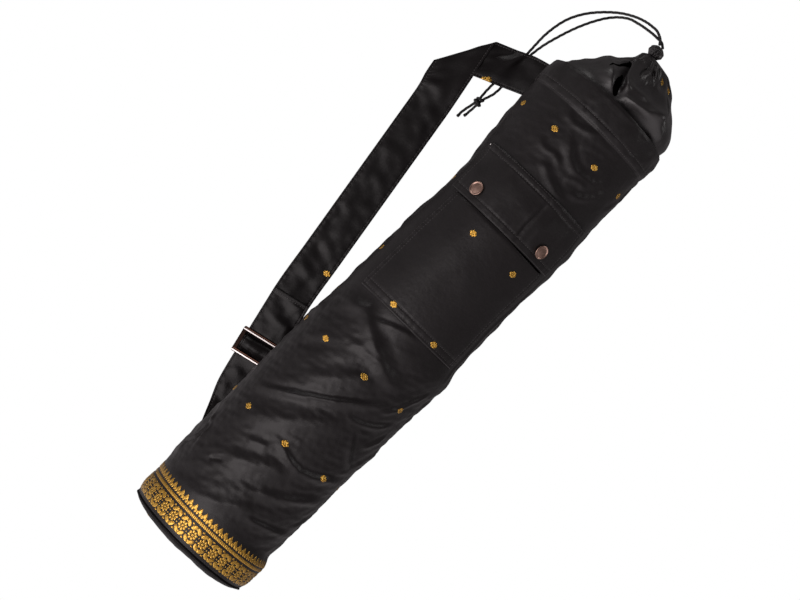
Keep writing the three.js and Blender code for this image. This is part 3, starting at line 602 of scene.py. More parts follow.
def cuff_round(x, turn):
    """The hem's rows carried past its edge, round it and back into the tube."""
    angle = np.clip((x - CUFF_X) / CUFF_ROLL, 0, 1) * math.pi
    radius = CUFF_CLOTH / 2
    inward = outward(turn) * (radius * (1 - np.cos(angle)))[..., None]
    points = cuff_surface(np.minimum(x, CUFF_X), turn) - inward
    points[..., 0] += radius * np.sin(angle) - np.maximum(x - CUFF_X - CUFF_ROLL, 0)
    return points


def build_cuff():
    stations = np.concatenate([
        np.arange(CUFF_START - 1.4, CUFF_START + 4, 0.6), np.arange(CUFF_START + 4, CUFF_START + 13, 0.9),
        np.arange(CUFF_START + 13, CUFF_X - 3, 2.2), np.linspace(CUFF_X - 2.6, CUFF_X, 4),
        CUFF_X + np.linspace(1, CUFF_ROLL, 7), CUFF_X + np.array([12.0, 18.0])])
    build_tube("cuff_cloth", "mouth_cuff", stations, np.linspace(-180, 180, 289), cuff_round, SATIN)


# The base
def base_height(share, turns, y, z):
    """The X of the base cloth at a share of the way from its middle to its rim."""
    bulge = BASE_BULGE * np.sqrt(np.maximum(0.0, 1 - share ** 2.6))
    spoke = np.sin(np.radians(turns) * 9 + 1.2) * 0.5 + np.sin(np.radians(turns) * 23) * 0.25
    pucker = spoke * ease(share, 0.45, 0.95) * (1 - ease(share, 0.97, 1.0)) * 1.3
    dent = 1.6 * bell(y + 14, 16) * bell(z - AXIS_Z - 30, 22)
    soft = 0.6 * smooth_noise(y, z, 44, 52, 3)
    return BASE_X - bulge - (pucker - dent + soft) * (1 - share ** 6)


def on_base(across, high, lift):
    """Places on the base cloth, as seen from outside: a place across it and a height over the axis."""
    y, high = -np.asarray(across, float), np.asarray(high, float)
    share = np.minimum(np.hypot(y, high) / (BODY_RADIUS * 0.98), 1.0)
    x = base_height(share, np.degrees(np.arctan2(y, high)), y, AXIS_Z + high)
    return np.stack([x - 0.2 - np.asarray(lift), y, AXIS_Z + high], -1)


def build_base():
    """The round base, pushed out by the contents, and the folded seam that stands out round its rim."""
    turns = np.linspace(-180, 180, 241)
    start = np.full(turns.shape, BASE_X)
    middle = np.array([BASE_X, 0, AXIS_Z])
    rim = body_skin(start, turns)
    rings = []
    for share in np.concatenate([np.linspace(0.0, 0.9, 26), np.linspace(0.92, 1.0, 8)])[::-1]:
        ring = middle + (rim - middle) * share
        ring[:, 0] = base_height(share, turns, ring[:, 1], ring[:, 2])
        rings.append(ring)
    rings = np.array(rings)
    dress(sheet_mesh("base_cloth", rings, rings[..., 1:], BASE_SATIN_PAINTED_SHADE, closed=True), "satin", "base_disc")
    rows = []
    for angle in np.linspace(0, 2 * math.pi, 9):
        row = body_skin(start, turns, 0.9 * math.cos(angle) + 0.3)
        row[:, 0] += -1.0 + 1.3 * math.sin(angle)
        rows.append(row)
    coords = np.stack(np.broadcast_arrays(np.linspace(0, 8, 9)[:, None], np.radians(turns) * BODY_RADIUS), -1)
    dress(sheet_mesh("base_seam", np.array(rows), coords, BASE_SATIN_PAINTED_SHADE, closed=True), "satin")


# The pocket and its flap. Their stitch rows lie at distances inside their edges
def arcs_of(turn, width):
    middle = math.radians(turn) * BODY_RADIUS
    return middle - width / 2, middle + width / 2


POCKET_ARCS = arcs_of(POCKET_TURN, POCKET_WIDTH)
POCKET_HEM_ROWS = (4.5, 11.5)
POCKET_SIDE_ROWS = (2.0, 7.5)
POCKET_CLOTH = 1.2
FLAP_ARCS = arcs_of(FLAP_TURN, FLAP_WIDTH)
FLAP_FREE_ROW = 8.5
FLAP_SEWN_ROW = 2.2
FLAP_SIDE_ROW = 6.5
FLAP_SEAM = FLAP_END - 9.0
FLAP_CLOTH = 1.5
FLAP_FOLDS = [
    Fold([(FLAP_X + 2, -24), (FLAP_X + 24, -22), (FLAP_X + 46, -22.5), (FLAP_X + 60, -24)], 2.4, -1.8, 0.7),
    Fold([(FLAP_X + 4, -38), (FLAP_X + 30, -36), (FLAP_X + 54, -40)], 5, 0.6),
    Fold([(FLAP_X + 12, 20), (FLAP_X + 34, 26), (FLAP_X + 56, 22)], 8, 0.5),
    Fold([(FLAP_X + 10, -70), (FLAP_X + 34, -64), (FLAP_X + 56, -66)], 6, 0.5),
]
SNAP_X = FLAP_X + SNAP_FROM_EDGE
SNAP_ARCS = arcs_of(FLAP_TURN, SNAP_SPREAD)[::-1]
SNAP_LIFT = 3.9
# Rows of radius and height, from the cap's middle to its foot
SNAP_PROFILE = [(0.01, 2.35), (1.5, 2.33), (3.2, 2.2), (4.8, 1.95), (5.7, 1.72), (6.1, 1.66), (6.4, 1.78),
                (6.7, 2.1), (7.1, 2.4), (7.5, 2.45), (7.85, 2.25), (8.0, 1.8), (7.95, 1.2),
                (7.6, 0.6), (7.2, 0.0)]


def line_dip(distance, depth=0.45):
    """The groove that a row of stitches pulls into the cloth."""
    return -depth * bell(distance, 0.8)


def pocket_height(x):
    return 0.5


def pocket_detail(x, arc):
    relief = np.zeros(x.shape)
    for row in POCKET_HEM_ROWS:
        relief += line_dip(x - (POCKET_X + row))
    for row in POCKET_SIDE_ROWS:
        relief += line_dip(arc - (POCKET_ARCS[0] + row)) + line_dip(arc - (POCKET_ARCS[1] - row))
    relief += 0.2 * bell(x - POCKET_X - 6, 7) * ripple(arc, 1.7, 1.5, 13)
    for edge in POCKET_ARCS:
        relief += 0.18 * bell(arc - edge, 8) * ripple(x, 1.8, 1.5, 15)
    relief += 0.22 * smooth_noise(x, arc, 60, 50, 41)
    return relief - 0.9 * bell(x - FLAP_X, 2.2)


def flap_height(x):
    """The flap rests on the pocket, and past its top on the body."""
    return mix(2.1, 0.3, ease(x, POCKET_TOP + 1, POCKET_TOP + 27)) + 0.2


def flap_detail(x, arc):
    relief = fold_relief(x, arc, FLAP_FOLDS)
    relief += line_dip(x - (FLAP_X + FLAP_FREE_ROW))
    relief += line_dip(x - (FLAP_END - FLAP_SEWN_ROW), 0.6) + line_dip(x - FLAP_SEAM, 0.6)
    for edge in FLAP_ARCS:
        relief += line_dip(np.abs(arc - edge) - FLAP_SIDE_ROW)
    relief += 0.22 * bell(x - FLAP_X - 6, 6) * ripple(arc, 1.8, 1.4, 11)
    relief += 0.26 * bell(x - FLAP_END + 5, 5) * ripple(arc, 1.7, 1.7, 14)
    for snap_arc in SNAP_ARCS:
        relief -= 0.5 * bell(np.hypot(x - SNAP_X, arc - snap_arc) - 6, 5)
    return relief + 0.3 * smooth_noise(x, arc, 40, 44, 51)


def rounded(inset, radius):
    """The share of its full height that a rounded edge has at a distance inside it."""
    return np.sqrt(np.clip(1 - (1 - np.clip(inset / radius, 0, 1)) ** 2, 0, 1))


def build_panel(name, node, stations, arcs, height, cloth, detail, step, tuck):
    """A cloth panel that lies on the body with rounded, stitched edges."""
    grid = [np.linspace(low, high, int((high - low) / step) + 1) for low, high in (stations, arcs)]
    x, arc = np.meshgrid(*grid, indexing="ij")
    from_ends = np.minimum(x - stations[0], stations[1] - x)
    border = np.minimum(from_ends, np.minimum(arc - arcs[0], arcs[1] - arc))
    lift = height(x) + (cloth + detail(x, arc)) * rounded(border, 1.3)
    lift = np.where(border <= 0, height(x) * 0.2, lift)
    # The rim turns under the panel, so that its edge stands off the cloth below
    under_x, under_arc = x.copy(), arc.copy()
    under_x[0] += tuck
    under_x[-1] -= tuck
    under_arc[:, 0] += tuck
    under_arc[:, -1] -= tuck
    piece = sheet_mesh(name, on_body(under_x, under_arc, lift), np.stack([x, arc], -1), SATIN)
    dress(piece, "satin", node)


def build_panels():
    build_panel("pocket_cloth", "pocket_panel", (POCKET_X, POCKET_TOP), POCKET_ARCS, pocket_height,
                POCKET_CLOTH, pocket_detail, 1.25, 0.6)
    build_panel("flap_cloth", "pocket_flap", (FLAP_X, FLAP_END), FLAP_ARCS, flap_height, FLAP_CLOTH,
                flap_detail, 1.0, 2.2)


def build_flap_gap():
    """A black sheet of painted shade in the gap between the flap's free edge and the pocket, wider away from
    the strap.
    """
    arcs = np.linspace(FLAP_ARCS[0] + 9, FLAP_ARCS[1] - 14, 90)
    across = np.linspace(0, 1, 5)
    wide = 0.8 + 1.5 * ease(-arcs, 10, 60) - 1.2 * ease(-arcs, 74, 86)
    x = FLAP_X + 0.3 - wide[:, None] * across
    arc = np.broadcast_to(arcs[:, None], x.shape)
    points = on_body(x, arc, 1.75 + pocket_detail(x, arc) + 0.25 * np.sin(across * math.pi))
    dress(sheet_mesh("flap_gap_painted_shade", points[:, ::-1], np.stack([x, arc], -1)[:, ::-1], SHADE), "satin")


def build_snaps():
    angles = np.linspace(0, 2 * math.pi, 65)[::-1]
    rows = np.array([[(r * math.cos(a), r * math.sin(a), h) for a in angles] for r, h in SNAP_PROFILE])
    names = (("snap_cap_left", "snap_strap_side"), ("snap_cap_right", "snap_far_side"))
    for (name, node), arc in zip(names, SNAP_ARCS):
        piece = sheet_mesh(name, rows, rows[..., :2], SNAP_METAL, closed=True)
        out = outward(turn_of_arc(arc))
        piece.data.transform(Vector((0, 0, 1)).rotation_difference(Vector(out)).to_matrix().to_4x4())
        piece.data.transform(Matrix.Translation(Vector(on_body(SNAP_X, arc, SNAP_LIFT) * MM)))
        dress(piece, "snap_metal", node)


# The drawstring collar. Its reach towards and away from the strap, and up and down, at stations
COLLAR_SECTIONS = [
    (322, 74.0, 74.0, 68.0),
    (331, 72.5, 75.5, 65.5),
    (340, 64.5, 76.5, 66.0),
    (350, 56.5, 73.5, 68.5),
    (358, 50.0, 68.5, 66.0),
    (366, 44.0, 61.5, 54.0),
    (374, 36.5, 53.5, 44.0),
    (382, 29.0, 45.0, 36.0),
    (390, 20.5, 37.0, 28.0),
    (396, 18.2, 29.0, 22.5),
    (400.5, 16.5, 21.0, 18.0),
    (403, 13.5, 10.0, 11.5),
    (404.4, 11.8, 2.5, 7.4),
]
# Folds of the collar as they are seen in the photograph
COLLAR_SEEN = [
    Fold([(376, 34), (367, 25), (359, 18), (351, 13), (344, 4)], 15, 5.5, 0.16),
    Fold([(387, 17), (376, 16), (367, 14), (358, 8), (349, 2)], 4.2, -12.0, 0.8),
    Fold([(345, 2), (352, -8), (354, -20), (357, -31), (365, -38), (376, -41), (388, -36)], 8, 4.6, 0.45),
    Fold([(374, 2), (376, -13), (374, -28)], 8.5, -5.5, 1.0),
    Fold([(390, -26), (377, -35), (364, -41), (353, -50), (343, -64)], 11, 7.5, 0.3),
    Fold([(336, 67), (346, 57), (356, 51)], 10, 2.4, 0.3),
    Fold([(394, 3), (386, 1), (378, 0)], 1.8, -3.4, 0.9),
    Fold([(397, -2), (391, -9), (384, -15)], 2.0, -3.4, 0.9),
    Fold([(400, 9), (391, 12), (382, 21)], 3.0, 2.4, 0.8),
    Fold([(385, -4), (380, -8), (373, -10)], 2.4, -1.4, 0.8),
]
# Folds round the collar's sides and underside: station and turn about its own middle in degrees
COLLAR_BEHIND = [
    Fold([(336, 100), (356, 108), (380, 112)], 10, -2.6),
    Fold([(338, 150), (358, 144), (382, 150)], 9, 2.4),
    Fold([(336, -112), (356, -108), (384, -116)], 9, 2.6),
    Fold([(340, -146), (360, -142), (386, -150)], 10, -2.4),
    Fold([(344, 178), (366, 172), (388, 176)], 8, 2.0),
]
# Places where the collar's cloth tucks in so far that no light returns, with half the tuck's width
TUCKS = [
    [(344.8, 2.6, 1.6), (346.5, 3.8, 4.0), (350, 6.5, 4.6), (355, 10.5, 3.8), (361, 14.4, 2.4),
     (367, 17.2, 0.7)],
    [(363.5, 27.5, 0.3), (366, 26.5, 1.3), (370, 24.6, 1.7), (376, 21.8, 1.6), (384, 18.8, 1.0),
     (390, 17.0, 0.3)],
]
COLLAR_PLEATS = 15
COLLAR_ROUND = 60.0


def collar_place(*seen):
    """Station and place round the collar from where it is seen."""
    turn = 0.0
    left, right = (float(curve_value(COLLAR_SECTIONS, seen[0], side)) for side in (LEFT, RIGHT))
    half = (left + right) / 2
    for _ in range(8):
        x, y = from_camera(seen, half * math.cos(turn))
        turn = math.asin(max(-0.98, min(0.98, (y - (left - right) / 2) / half)))
    return x, turn * COLLAR_ROUND


COLLAR_FOLDS = [fold._replace(points=[collar_place(*seen) for seen in fold.points]) for fold in COLLAR_SEEN]
COLLAR_FOLDS += [
    fold._replace(points=[(x, math.radians(turn + whole) * COLLAR_ROUND) for x, turn in fold.points])
    for fold in COLLAR_BEHIND for whole in (-360, 0, 360)]


def collar_surface(x, turn):
    """The drawn cloth: broad folds from the cuff, closing into pleats at the mouth."""
    left, right, high = (curve_value(COLLAR_SECTIONS, x, side) for side in (LEFT, RIGHT, HIGH))
    half = (left + right) / 2
    bent = turn + 11 * np.sin(np.radians(turn * 2 + 40)) + 7 * np.sin(np.radians(turn * 5 + 10))
    drawn = ease(x, 372, 400)
    depth = 2.6 * drawn * (1 - 0.55 * ease(x, 398, 404.4))
    pleat = np.cos(np.radians(bent * COLLAR_PLEATS))
    arc = np.radians(turn) * COLLAR_ROUND
    soft = 0.8 * smooth_noise(x, arc, 26, 34, 61) * ease(x, 332, 345)
    relief = depth * (pleat - 0.35) * np.minimum(1, half / 34)
    relief += (fold_relief(x, arc, COLLAR_FOLDS) + soft) * np.minimum(1, half / 26)
    relief -= 1.2 * (1 - ease(x, CUFF_X - 6, CUFF_X + 3))
    out = outward(turn)
    y = (left - right) / 2 + out[..., 1] * (half + relief)
    z = AXIS_Z - NECK_DROP * ease(x, 345, 403) + out[..., 2] * np.maximum(high + relief, 0)
    return np.stack([x + 0.35 * pleat * drawn, y, np.maximum(z, 0.4)], -1)


def on_collar(x, arc, lift):
    turn = np.degrees(np.asarray(arc, float) / COLLAR_ROUND)
    return collar_surface(np.asarray(x, float), turn) + outward(turn) * (np.asarray(lift) + 0.1)[..., None]


def build_collar():
    stations = np.concatenate([np.arange(322, 384, 1.1), np.arange(384, 402, 0.7),
                               np.linspace(402.2, 404.4, 5)])
    turns = np.linspace(-180, 180, 361)
    build_tube("collar_cloth", "drawstring_collar", stations, turns, collar_surface, COLLAR_SATIN_PAINTED_LIGHT)


def build_tucks():
    """Narrow black sheets of painted shade lying in the collar's two deepest tucks."""
    joined = Joined()
    for tuck in TUCKS:
        line = np.array(tuck, float)
        share = np.linspace(0, len(line) - 1, 25)
        xs, ys, halves = (np.interp(share, np.arange(len(line)), column) for column in line.T)
        across = np.linspace(-1, 1, 7)
        seen = [collar_place(x, y + half * side) for x, y, half in zip(xs, ys, halves) for side in across]
        places = np.array(seen)
        lifts = np.tile(0.3 - 0.7 * across ** 2, len(xs))
        faces = grid_faces(len(xs), len(across))
        joined.add(on_collar(places[:, 0], places[:, 1], lifts), faces, places * MM)
    joined.build("collar_tucks_painted_shade", SHADE, "satin")


# The bunched end that holds the drawstring
CHANNEL_X = NECK_X + GAP
CHANNEL_MIDDLE = np.array([NECK_SIDE + 1.4, AXIS_Z - NECK_DROP])


def channel_surface(x, turn):
    """A puckered ball of cloth round the hole that the cords leave by."""
    share = (x - CHANNEL_X) / CHANNEL_LENGTH
    swell = np.sqrt(np.clip(1 - (2 * share - 1.05) ** 2 * 0.86, 0.02, 1))
    bent = turn + 14 * np.sin(np.radians(turn * 3 + 25)) + 18 * share
    pleat = np.cos(np.radians(bent * 11))
    puckered = 0.75 * pleat * np.sin(np.clip(share, 0, 1) * math.pi) ** 0.5
    radius = 8.6 * swell + puckered + 0.25 * np.sin(share * 19)
    points = outward(turn) * radius[..., None]
    points[..., 0] = x + 0.3 * pleat
    points[..., 1:] += CHANNEL_MIDDLE
    return points


def build_channel():
    turns = np.linspace(-180, 180, 181)
    points = channel_surface(*np.meshgrid(np.linspace(CHANNEL_X, CHANNEL_X + CHANNEL_LENGTH, 34), turns,
                                          indexing="ij"))
    mouth = []
    for back in np.arange(1, 8) / 7:
        ring = points[-1].copy()
        ring[:, 1:] = CHANNEL_MIDDLE + (ring[:, 1:] - CHANNEL_MIDDLE) * (1 - 0.72 * ease(back, 0, 0.55))
        ring[:, 0] += 0.5 * math.sin(back * math.pi) - 5.0 * max(0.0, back - 0.35)
        mouth.append(ring)
    points = np.concatenate([points, np.array(mouth)])
    along = np.arange(points.shape[0])[:, None] * 0.45
    coords = np.stack(np.broadcast_arrays(along, np.radians(turns) * 8.5), -1)
    piece = sheet_mesh("channel_cloth", points, coords, COLLAR_SATIN_PAINTED_LIGHT, closed=True)
    dress(piece, "satin", "drawstring_channel")


# The strap
STRAP_LOW = STRAP_CLOTH / 2
STRAP_OVER = STRAP_LOW + STRAP_CLOTH + GAP
FOLD_OUT = 80.0
FOLD_PLACE = np.array([CUFF_X - 57.0, BODY_RADIUS + FOLD_OUT, STRAP_LOW])
LAP_PLACE = np.array([BASE_X + 267.0, BODY_RADIUS + 28.0, STRAP_LOW])
SLIDER_PLACE = np.array([BASE_X + 197.3, BODY_RADIUS + 12.3, STRAP_LOW])
FOLD_HEADING = 112.5
CORD_CLEARANCE = 3.6
ROOT_X = CUFF_X - 24.0
ANCHOR_X = BASE_X + 14.0
ANCHOR_LENGTH = 34.0
ANCHOR_TURN = 140.0
HEM_LENGTH = 5.5
SLIDER_BAR = 5.0
SLIDER_MIDDLE_BAR = 4.0
SLIDER_WINDOW = 9.0
SLIDER_THICKNESS = 2.5
SLIDER_PLAY = 1.5
SLIDER_RAIL = 3.5
SLIDER_LENGTH = 2 * SLIDER_BAR + 2 * SLIDER_WINDOW + SLIDER_MIDDLE_BAR
SLIDER_WIDTH = STRAP_WIDTH + 2 * SLIDER_PLAY + 2 * SLIDER_RAIL
SLIDER_HEIGHT = 2 * (STRAP_CLOTH + GAP)
SLIDER_METAL = slider_bars_with_painted_highlights("slider_metal", SLIDER_BAR / SLIDER_LENGTH)

# Columns of the strap, from its right edge: closer at the edges and at the stitching
EDGE_COLUMNS = np.array([0, 0.12, 0.4, 0.9, 1.6, 2.3, 3.0, 3.7, 4.8, 7.0])
STITCH_IN = 3.0
OFFSETS = np.concatenate([EDGE_COLUMNS - STRAP_WIDTH / 2,
                          np.linspace(10 - STRAP_WIDTH / 2, STRAP_WIDTH / 2 - 10, 12),
                          STRAP_WIDTH / 2 - EDGE_COLUMNS[::-1]])


def heading_of(a, b):
    return math.degrees(math.atan2(b[1] - a[1], b[0] - a[0])) + 360


def ahead(heading):
    return np.array([math.cos(math.radians(heading)), math.sin(math.radians(heading)), 0.0])


def left_of(way):
    return np.array([-way[1], way[0], 0.0])


RUN_HEADING = heading_of(FOLD_PLACE, LAP_PLACE)
LOWER_HEADING = heading_of(LAP_PLACE, SLIDER_PLACE)


def at_height(points, height):
    points = points.copy()
    points[:, 2] = height
    return points


def upper_strap_rows():
    """The strap's middle surface from the long seam, round the flat fold, to the slider."""
    into = ahead(FOLD_HEADING)
    fold_way = ahead((FOLD_HEADING + RUN_HEADING) / 2)
    past = -left_of(fold_way)
    radius = (STRAP_CLOTH + GAP) / 2
    slant = -left_of(into).dot(past) / into.dot(past)
    across = OFFSETS[:, None] * left_of(into)
    rows = []
    seam = body_skin(ROOT_X - OFFSETS, np.full(OFFSETS.shape, SEAM_TURN))
    for length_out in (0.0, STRAP_WIDTH / 5):
        rows.append(seam + outward(SEAM_TURN) * (CUFF_STEP + GAP + length_out))
    for back, height in ((0.875, CORD_CLEARANCE + STRAP_LOW + 3), (0.75, CORD_CLEARANCE + STRAP_LOW),
                         (0.525, CORD_CLEARANCE + STRAP_LOW), (0.34, STRAP_LOW)):
        square = float(ease(back, 0.25, 1))
        shift = slant * OFFSETS * (1 - square) - back * FOLD_OUT
        rows.append(at_height(FOLD_PLACE + shift[:, None] * into + across, height))
    for k in range(13):
        angle = math.pi * k / 12
        drift = angle * radius * into.dot(fold_way) / into.dot(past)
        row = FOLD_PLACE + (slant * OFFSETS)[:, None] * into + across + fold_way * drift
        row = row + past * radius * math.sin(angle)
        rows.append(at_height(row, STRAP_LOW + radius * (1 - math.cos(angle))))
    run = ahead(RUN_HEADING)
    run_length = float(np.linalg.norm(LAP_PLACE - FOLD_PLACE))
    turned = rows[-1]
    down_from, down_at = 1.05 * STRAP_WIDTH, 1.6 * STRAP_WIDTH
    level = FOLD_PLACE - OFFSETS[:, None] * left_of(run)
    for length in [8, 16, 24, 36, 50, 62, 74, 90, 120, 160, 200, 240, 280, run_length]:
        squared = float(ease(length, 0, down_at))
        height = mix(STRAP_OVER, STRAP_LOW, float(ease(length, down_from, down_at)))
        rows.append(at_height(mix(turned, level, squared) + run * length, height))
    last = ahead(LOWER_HEADING)
    for before in (float(np.linalg.norm(LAP_PLACE - SLIDER_PLACE)) / 2, -(SLIDER_MIDDLE_BAR / 2 + 1)):
        rows.append(SLIDER_PLACE - last * before - OFFSETS[:, None] * left_of(last))
    return np.array(rows)


def lower_strap_rows():
    """The strap from its hem on the upper part, through the slider, to its seam near the base."""
    over = SLIDER_HEIGHT + SLIDER_THICKNESS + GAP + STRAP_LOW
    bar, window = SLIDER_MIDDLE_BAR / 2, SLIDER_MIDDLE_BAR / 2 + SLIDER_WINDOW
    outer = SLIDER_LENGTH / 2
    lap = float(np.linalg.norm(LAP_PLACE - SLIDER_PLACE))
    weave = [(-lap, STRAP_OVER), (-lap * 0.6, STRAP_OVER), (-outer - 6, STRAP_OVER), (-outer - 1, STRAP_OVER),
             (-window + 1.7, STRAP_OVER), (-bar - 1.2, over), (0, over + 0.4), (bar + 1.2, over),
             (window - 1.7, STRAP_OVER), (outer, STRAP_OVER - 0.6), (outer + 12, STRAP_LOW)]
    way = ahead(LOWER_HEADING)
    across = OFFSETS[:, None] * left_of(way)
    rows = [at_height(SLIDER_PLACE + way * past + across, height) for past, height in weave]
    join_x = ANCHOR_X + ANCHOR_LENGTH
    start = SLIDER_PLACE + way * (outer + 12)

    def on_skin(x, offset):
        turn = ANCHOR_TURN + np.degrees(offset / BODY_RADIUS)
        return body_skin(np.full(offset.shape, x), turn) + outward(turn) * (GAP + STRAP_LOW + 0.3)

    sewn = on_skin(join_x, np.zeros(1))[0]
    for share in (0.2, 0.4, 0.55, 0.7, 0.85):
        x = mix(start[0], join_x, share)
        middle = mix(start[1] + (x - start[0]) * way[1] / way[0], sewn[1], float(ease(share, 0.1, 1)))
        side = left_of(ahead(mix(LOWER_HEADING, 180, float(ease(share, 0.4, 1)))))
        lift = mix(STRAP_LOW, BODY_RADIUS / 2, float(ease(share, 0.3, 1)))
        flat = np.array([x, middle, 0.0]) + OFFSETS[:, None] * side
        y = mix(flat[:, 1], on_skin(x, OFFSETS)[:, 1], float(ease(share, 0.5, 1)))
        turn = 180 - np.degrees(np.arcsin(np.clip(y / BODY_RADIUS, -1, 1)))
        room = body_skin(flat[:, 0], turn)[:, 2] - (GAP + STRAP_CLOTH) / np.maximum(0.4, -outward(turn)[:, 2])
        z = np.maximum(STRAP_LOW, np.minimum(lift, room))
        rows.append(np.stack([flat[:, 0], y, z], -1))
    for share in (1, 0.5, 0):
        rows.append(on_skin(ANCHOR_X + share * ANCHOR_LENGTH, OFFSETS))
    return np.array(rows)


def refine_rows(rows, spacing):
    """More rows between the given ones, on a smooth curve through each column."""
    gaps = np.linalg.norm(np.diff(rows, axis=0), axis=2).mean(1)
    place = np.concatenate([[0], np.cumsum(gaps)])
    speed = np.diff(rows, axis=0) / gaps[:, None, None]
    slope = np.concatenate([speed[:1], speed])
    for k in range(1, len(rows) - 1):
        before, after = gaps[k - 1], gaps[k]
        slope[k] = (speed[k - 1] * after + speed[k] * before) / (before + after)
    result, lengths = [], []
    for k, gap in enumerate(gaps):
        count = max(1, int(math.ceil(gap / spacing)))
        for t in np.arange(count) / count:
            result.append(hermite(rows[k], rows[k + 1], slope[k], slope[k + 1], gap, t))
            lengths.append(place[k] + t * gap)
    return np.array(result + [rows[-1]]), np.array(lengths + [place[-1]])


def strap_sides(rows, lengths, seed, hem):
    """Both faces of a strap: stitched flat along its edges and slightly full between them."""
    normal = np.cross(np.gradient(rows, axis=0), np.gradient(rows, axis=1))
    normal /= np.linalg.norm(normal, axis=2, keepdims=True)
    inset = STRAP_WIDTH / 2 - np.abs(OFFSETS)[None, :]
    edge = rounded(inset, 1.0)
    u, v = np.broadcast_arrays(lengths[:, None], OFFSETS[None, :])
    lumps = smooth_noise(u, v, 38, 34, seed) * 0.75 + smooth_noise(u, v, 17, 20, seed + 1) * 0.3
    puff = ease(inset, STITCH_IN, STITCH_IN + 7) * (0.4 + 1.15 * lumps)
    pucker = 0.16 * bell(inset - STITCH_IN, 2.2) * ripple(u, 1.35, 1.6, 12)
    groove = -0.3 * bell(inset - STITCH_IN, 0.55)
    thick = STRAP_LOW
    if hem:
        doubled = 1 - ease(lengths, hem, hem + 1.2)[:, None]
        thick = thick + 0.75 * doubled * edge
        puff = puff * (1 - doubled)
        groove = groove - 0.25 * bell(lengths[:, None] - hem + 1.2, 0.7)
    faces = []
    for way in (1, -1):
        shown = np.clip(way * normal[..., 2] * 1.3, 0, 1)
        lift = (thick + (puff + pucker + groove) * shown) * edge
        face = rows + way * normal * lift[..., None]
        face[..., 2] = np.maximum(face[..., 2], FLOOR_CLEARANCE)
        faces.append(face)
    return *faces, normal


def build_strap(name, node, rows, seed, hem=0.0):
    """A strap, and its lengths, visible face and normals for what is sewn to it."""
    rows, lengths = refine_rows(rows, 1.6)
    front, back, normal = strap_sides(rows, lengths, seed, hem)
    ring = np.concatenate([front, back[:, ::-1]], axis=1)
    count, columns = ring.shape[:2]
    last = (count - 1) * columns
    faces = grid_faces(count, columns)
    faces += [[k + columns - 1, k + 2 * columns - 1, k + columns, k] for k in range(0, last, columns)]
    for a in range(columns // 2 - 1):
        end = [a, a + 1, columns - 2 - a, columns - 1 - a]
        faces += [end, [last + k for k in reversed(end)]]
    u, v = np.broadcast_arrays(lengths[:, None], np.concatenate([OFFSETS, OFFSETS[::-1]])[None, :])
    piece = make_mesh(name, ring.reshape(-1, 3), faces, np.stack([u, v], -1).reshape(-1, 2), STRAP_SATIN)
    weld(piece)
    dress(piece, "strap_satin", node)
    up = normal[..., 2:3] >= 0
    return lengths, np.where(up, front, back), np.where(up, normal, -normal)


def frame_loop(curve, x0, x1, y0, y1, corner):
    """One outline of the slider, a rectangle with round corners."""
    points = []
    for cx, cy, start in ((x1 - corner, y0 + corner, -90), (x1 - corner, y1 - corner, 0),
                          (x0 + corner, y1 - corner, 90), (x0 + corner, y0 + corner, 180)):
        for angle in np.radians(start + np.linspace(0, 90, 5)):
            points.append((cx + corner * math.cos(angle), cy + corner * math.sin(angle)))
    spline = curve.splines.new("POLY")
    spline.points.add(len(points) - 1)
    for point, (x, y) in zip(spline.points, points):
        point.co = (x * MM, y * MM, 0, 1)
    spline.use_cyclic_u = True


def build_slider():
    """Two windows in a polished frame with rounded bars."""
    bevel = 0.75
    curve = bpy.data.curves.new("slider_outline", "CURVE")
    curve.dimensions = "2D"
    curve.fill_mode = "BOTH"
    curve.extrude = (SLIDER_THICKNESS / 2 - bevel) * MM
    curve.bevel_depth = bevel * MM
    curve.bevel_resolution = 3
    length, width = SLIDER_LENGTH / 2 - bevel, SLIDER_WIDTH / 2 - bevel
    frame_loop(curve, -length, length, -width, width, 1.2)
    inner = STRAP_WIDTH / 2 - 0.3 + bevel
    near, far = SLIDER_MIDDLE_BAR / 2 - bevel, SLIDER_MIDDLE_BAR / 2 + SLIDER_WINDOW + bevel
    for side in (-1, 1):
        frame_loop(curve, *sorted((side * near, side * far)), -inner, inner, 1.0)
    shaped = add_object("slider_shape", curve)
    bpy.context.view_layer.update()
    mesh = bpy.data.meshes.new_from_object(shaped.evaluated_get(bpy.context.evaluated_depsgraph_get()))
    bpy.data.objects.remove(shaped)
    mesh.name = "slider_metal"
    # U runs across the frame, so that the material's painted highlight lines fall along the outer bars
    across = mesh.uv_layers[0] if mesh.uv_layers else mesh.uv_layers.new(name="UVMap")
    flip = 1 if math.cos(math.radians(LOWER_HEADING)) > 0 else -1
    for corner in mesh.loops:
        x, y, _ = mesh.vertices[corner.vertex_index].co / MM
        across.data[corner.index].uv = (0.5 + flip * x / SLIDER_LENGTH, 0.5 + y / SLIDER_WIDTH)
    mesh.materials.clear()
    mesh.materials.append(SLIDER_METAL)
    place = Vector((*SLIDER_PLACE[:2], SLIDER_HEIGHT + SLIDER_THICKNESS / 2)) * MM
    mesh.transform(Matrix.Translation(place) @ Matrix.Rotation(math.radians(LOWER_HEADING), 4, "Z"))
    mesh.shade_smooth()
    piece = add_object("slider_frame", mesh)
    piece.modifiers.new("corners", "WEIGHTED_NORMAL")
    dress(piece, "slider_metal", "strap_slider")


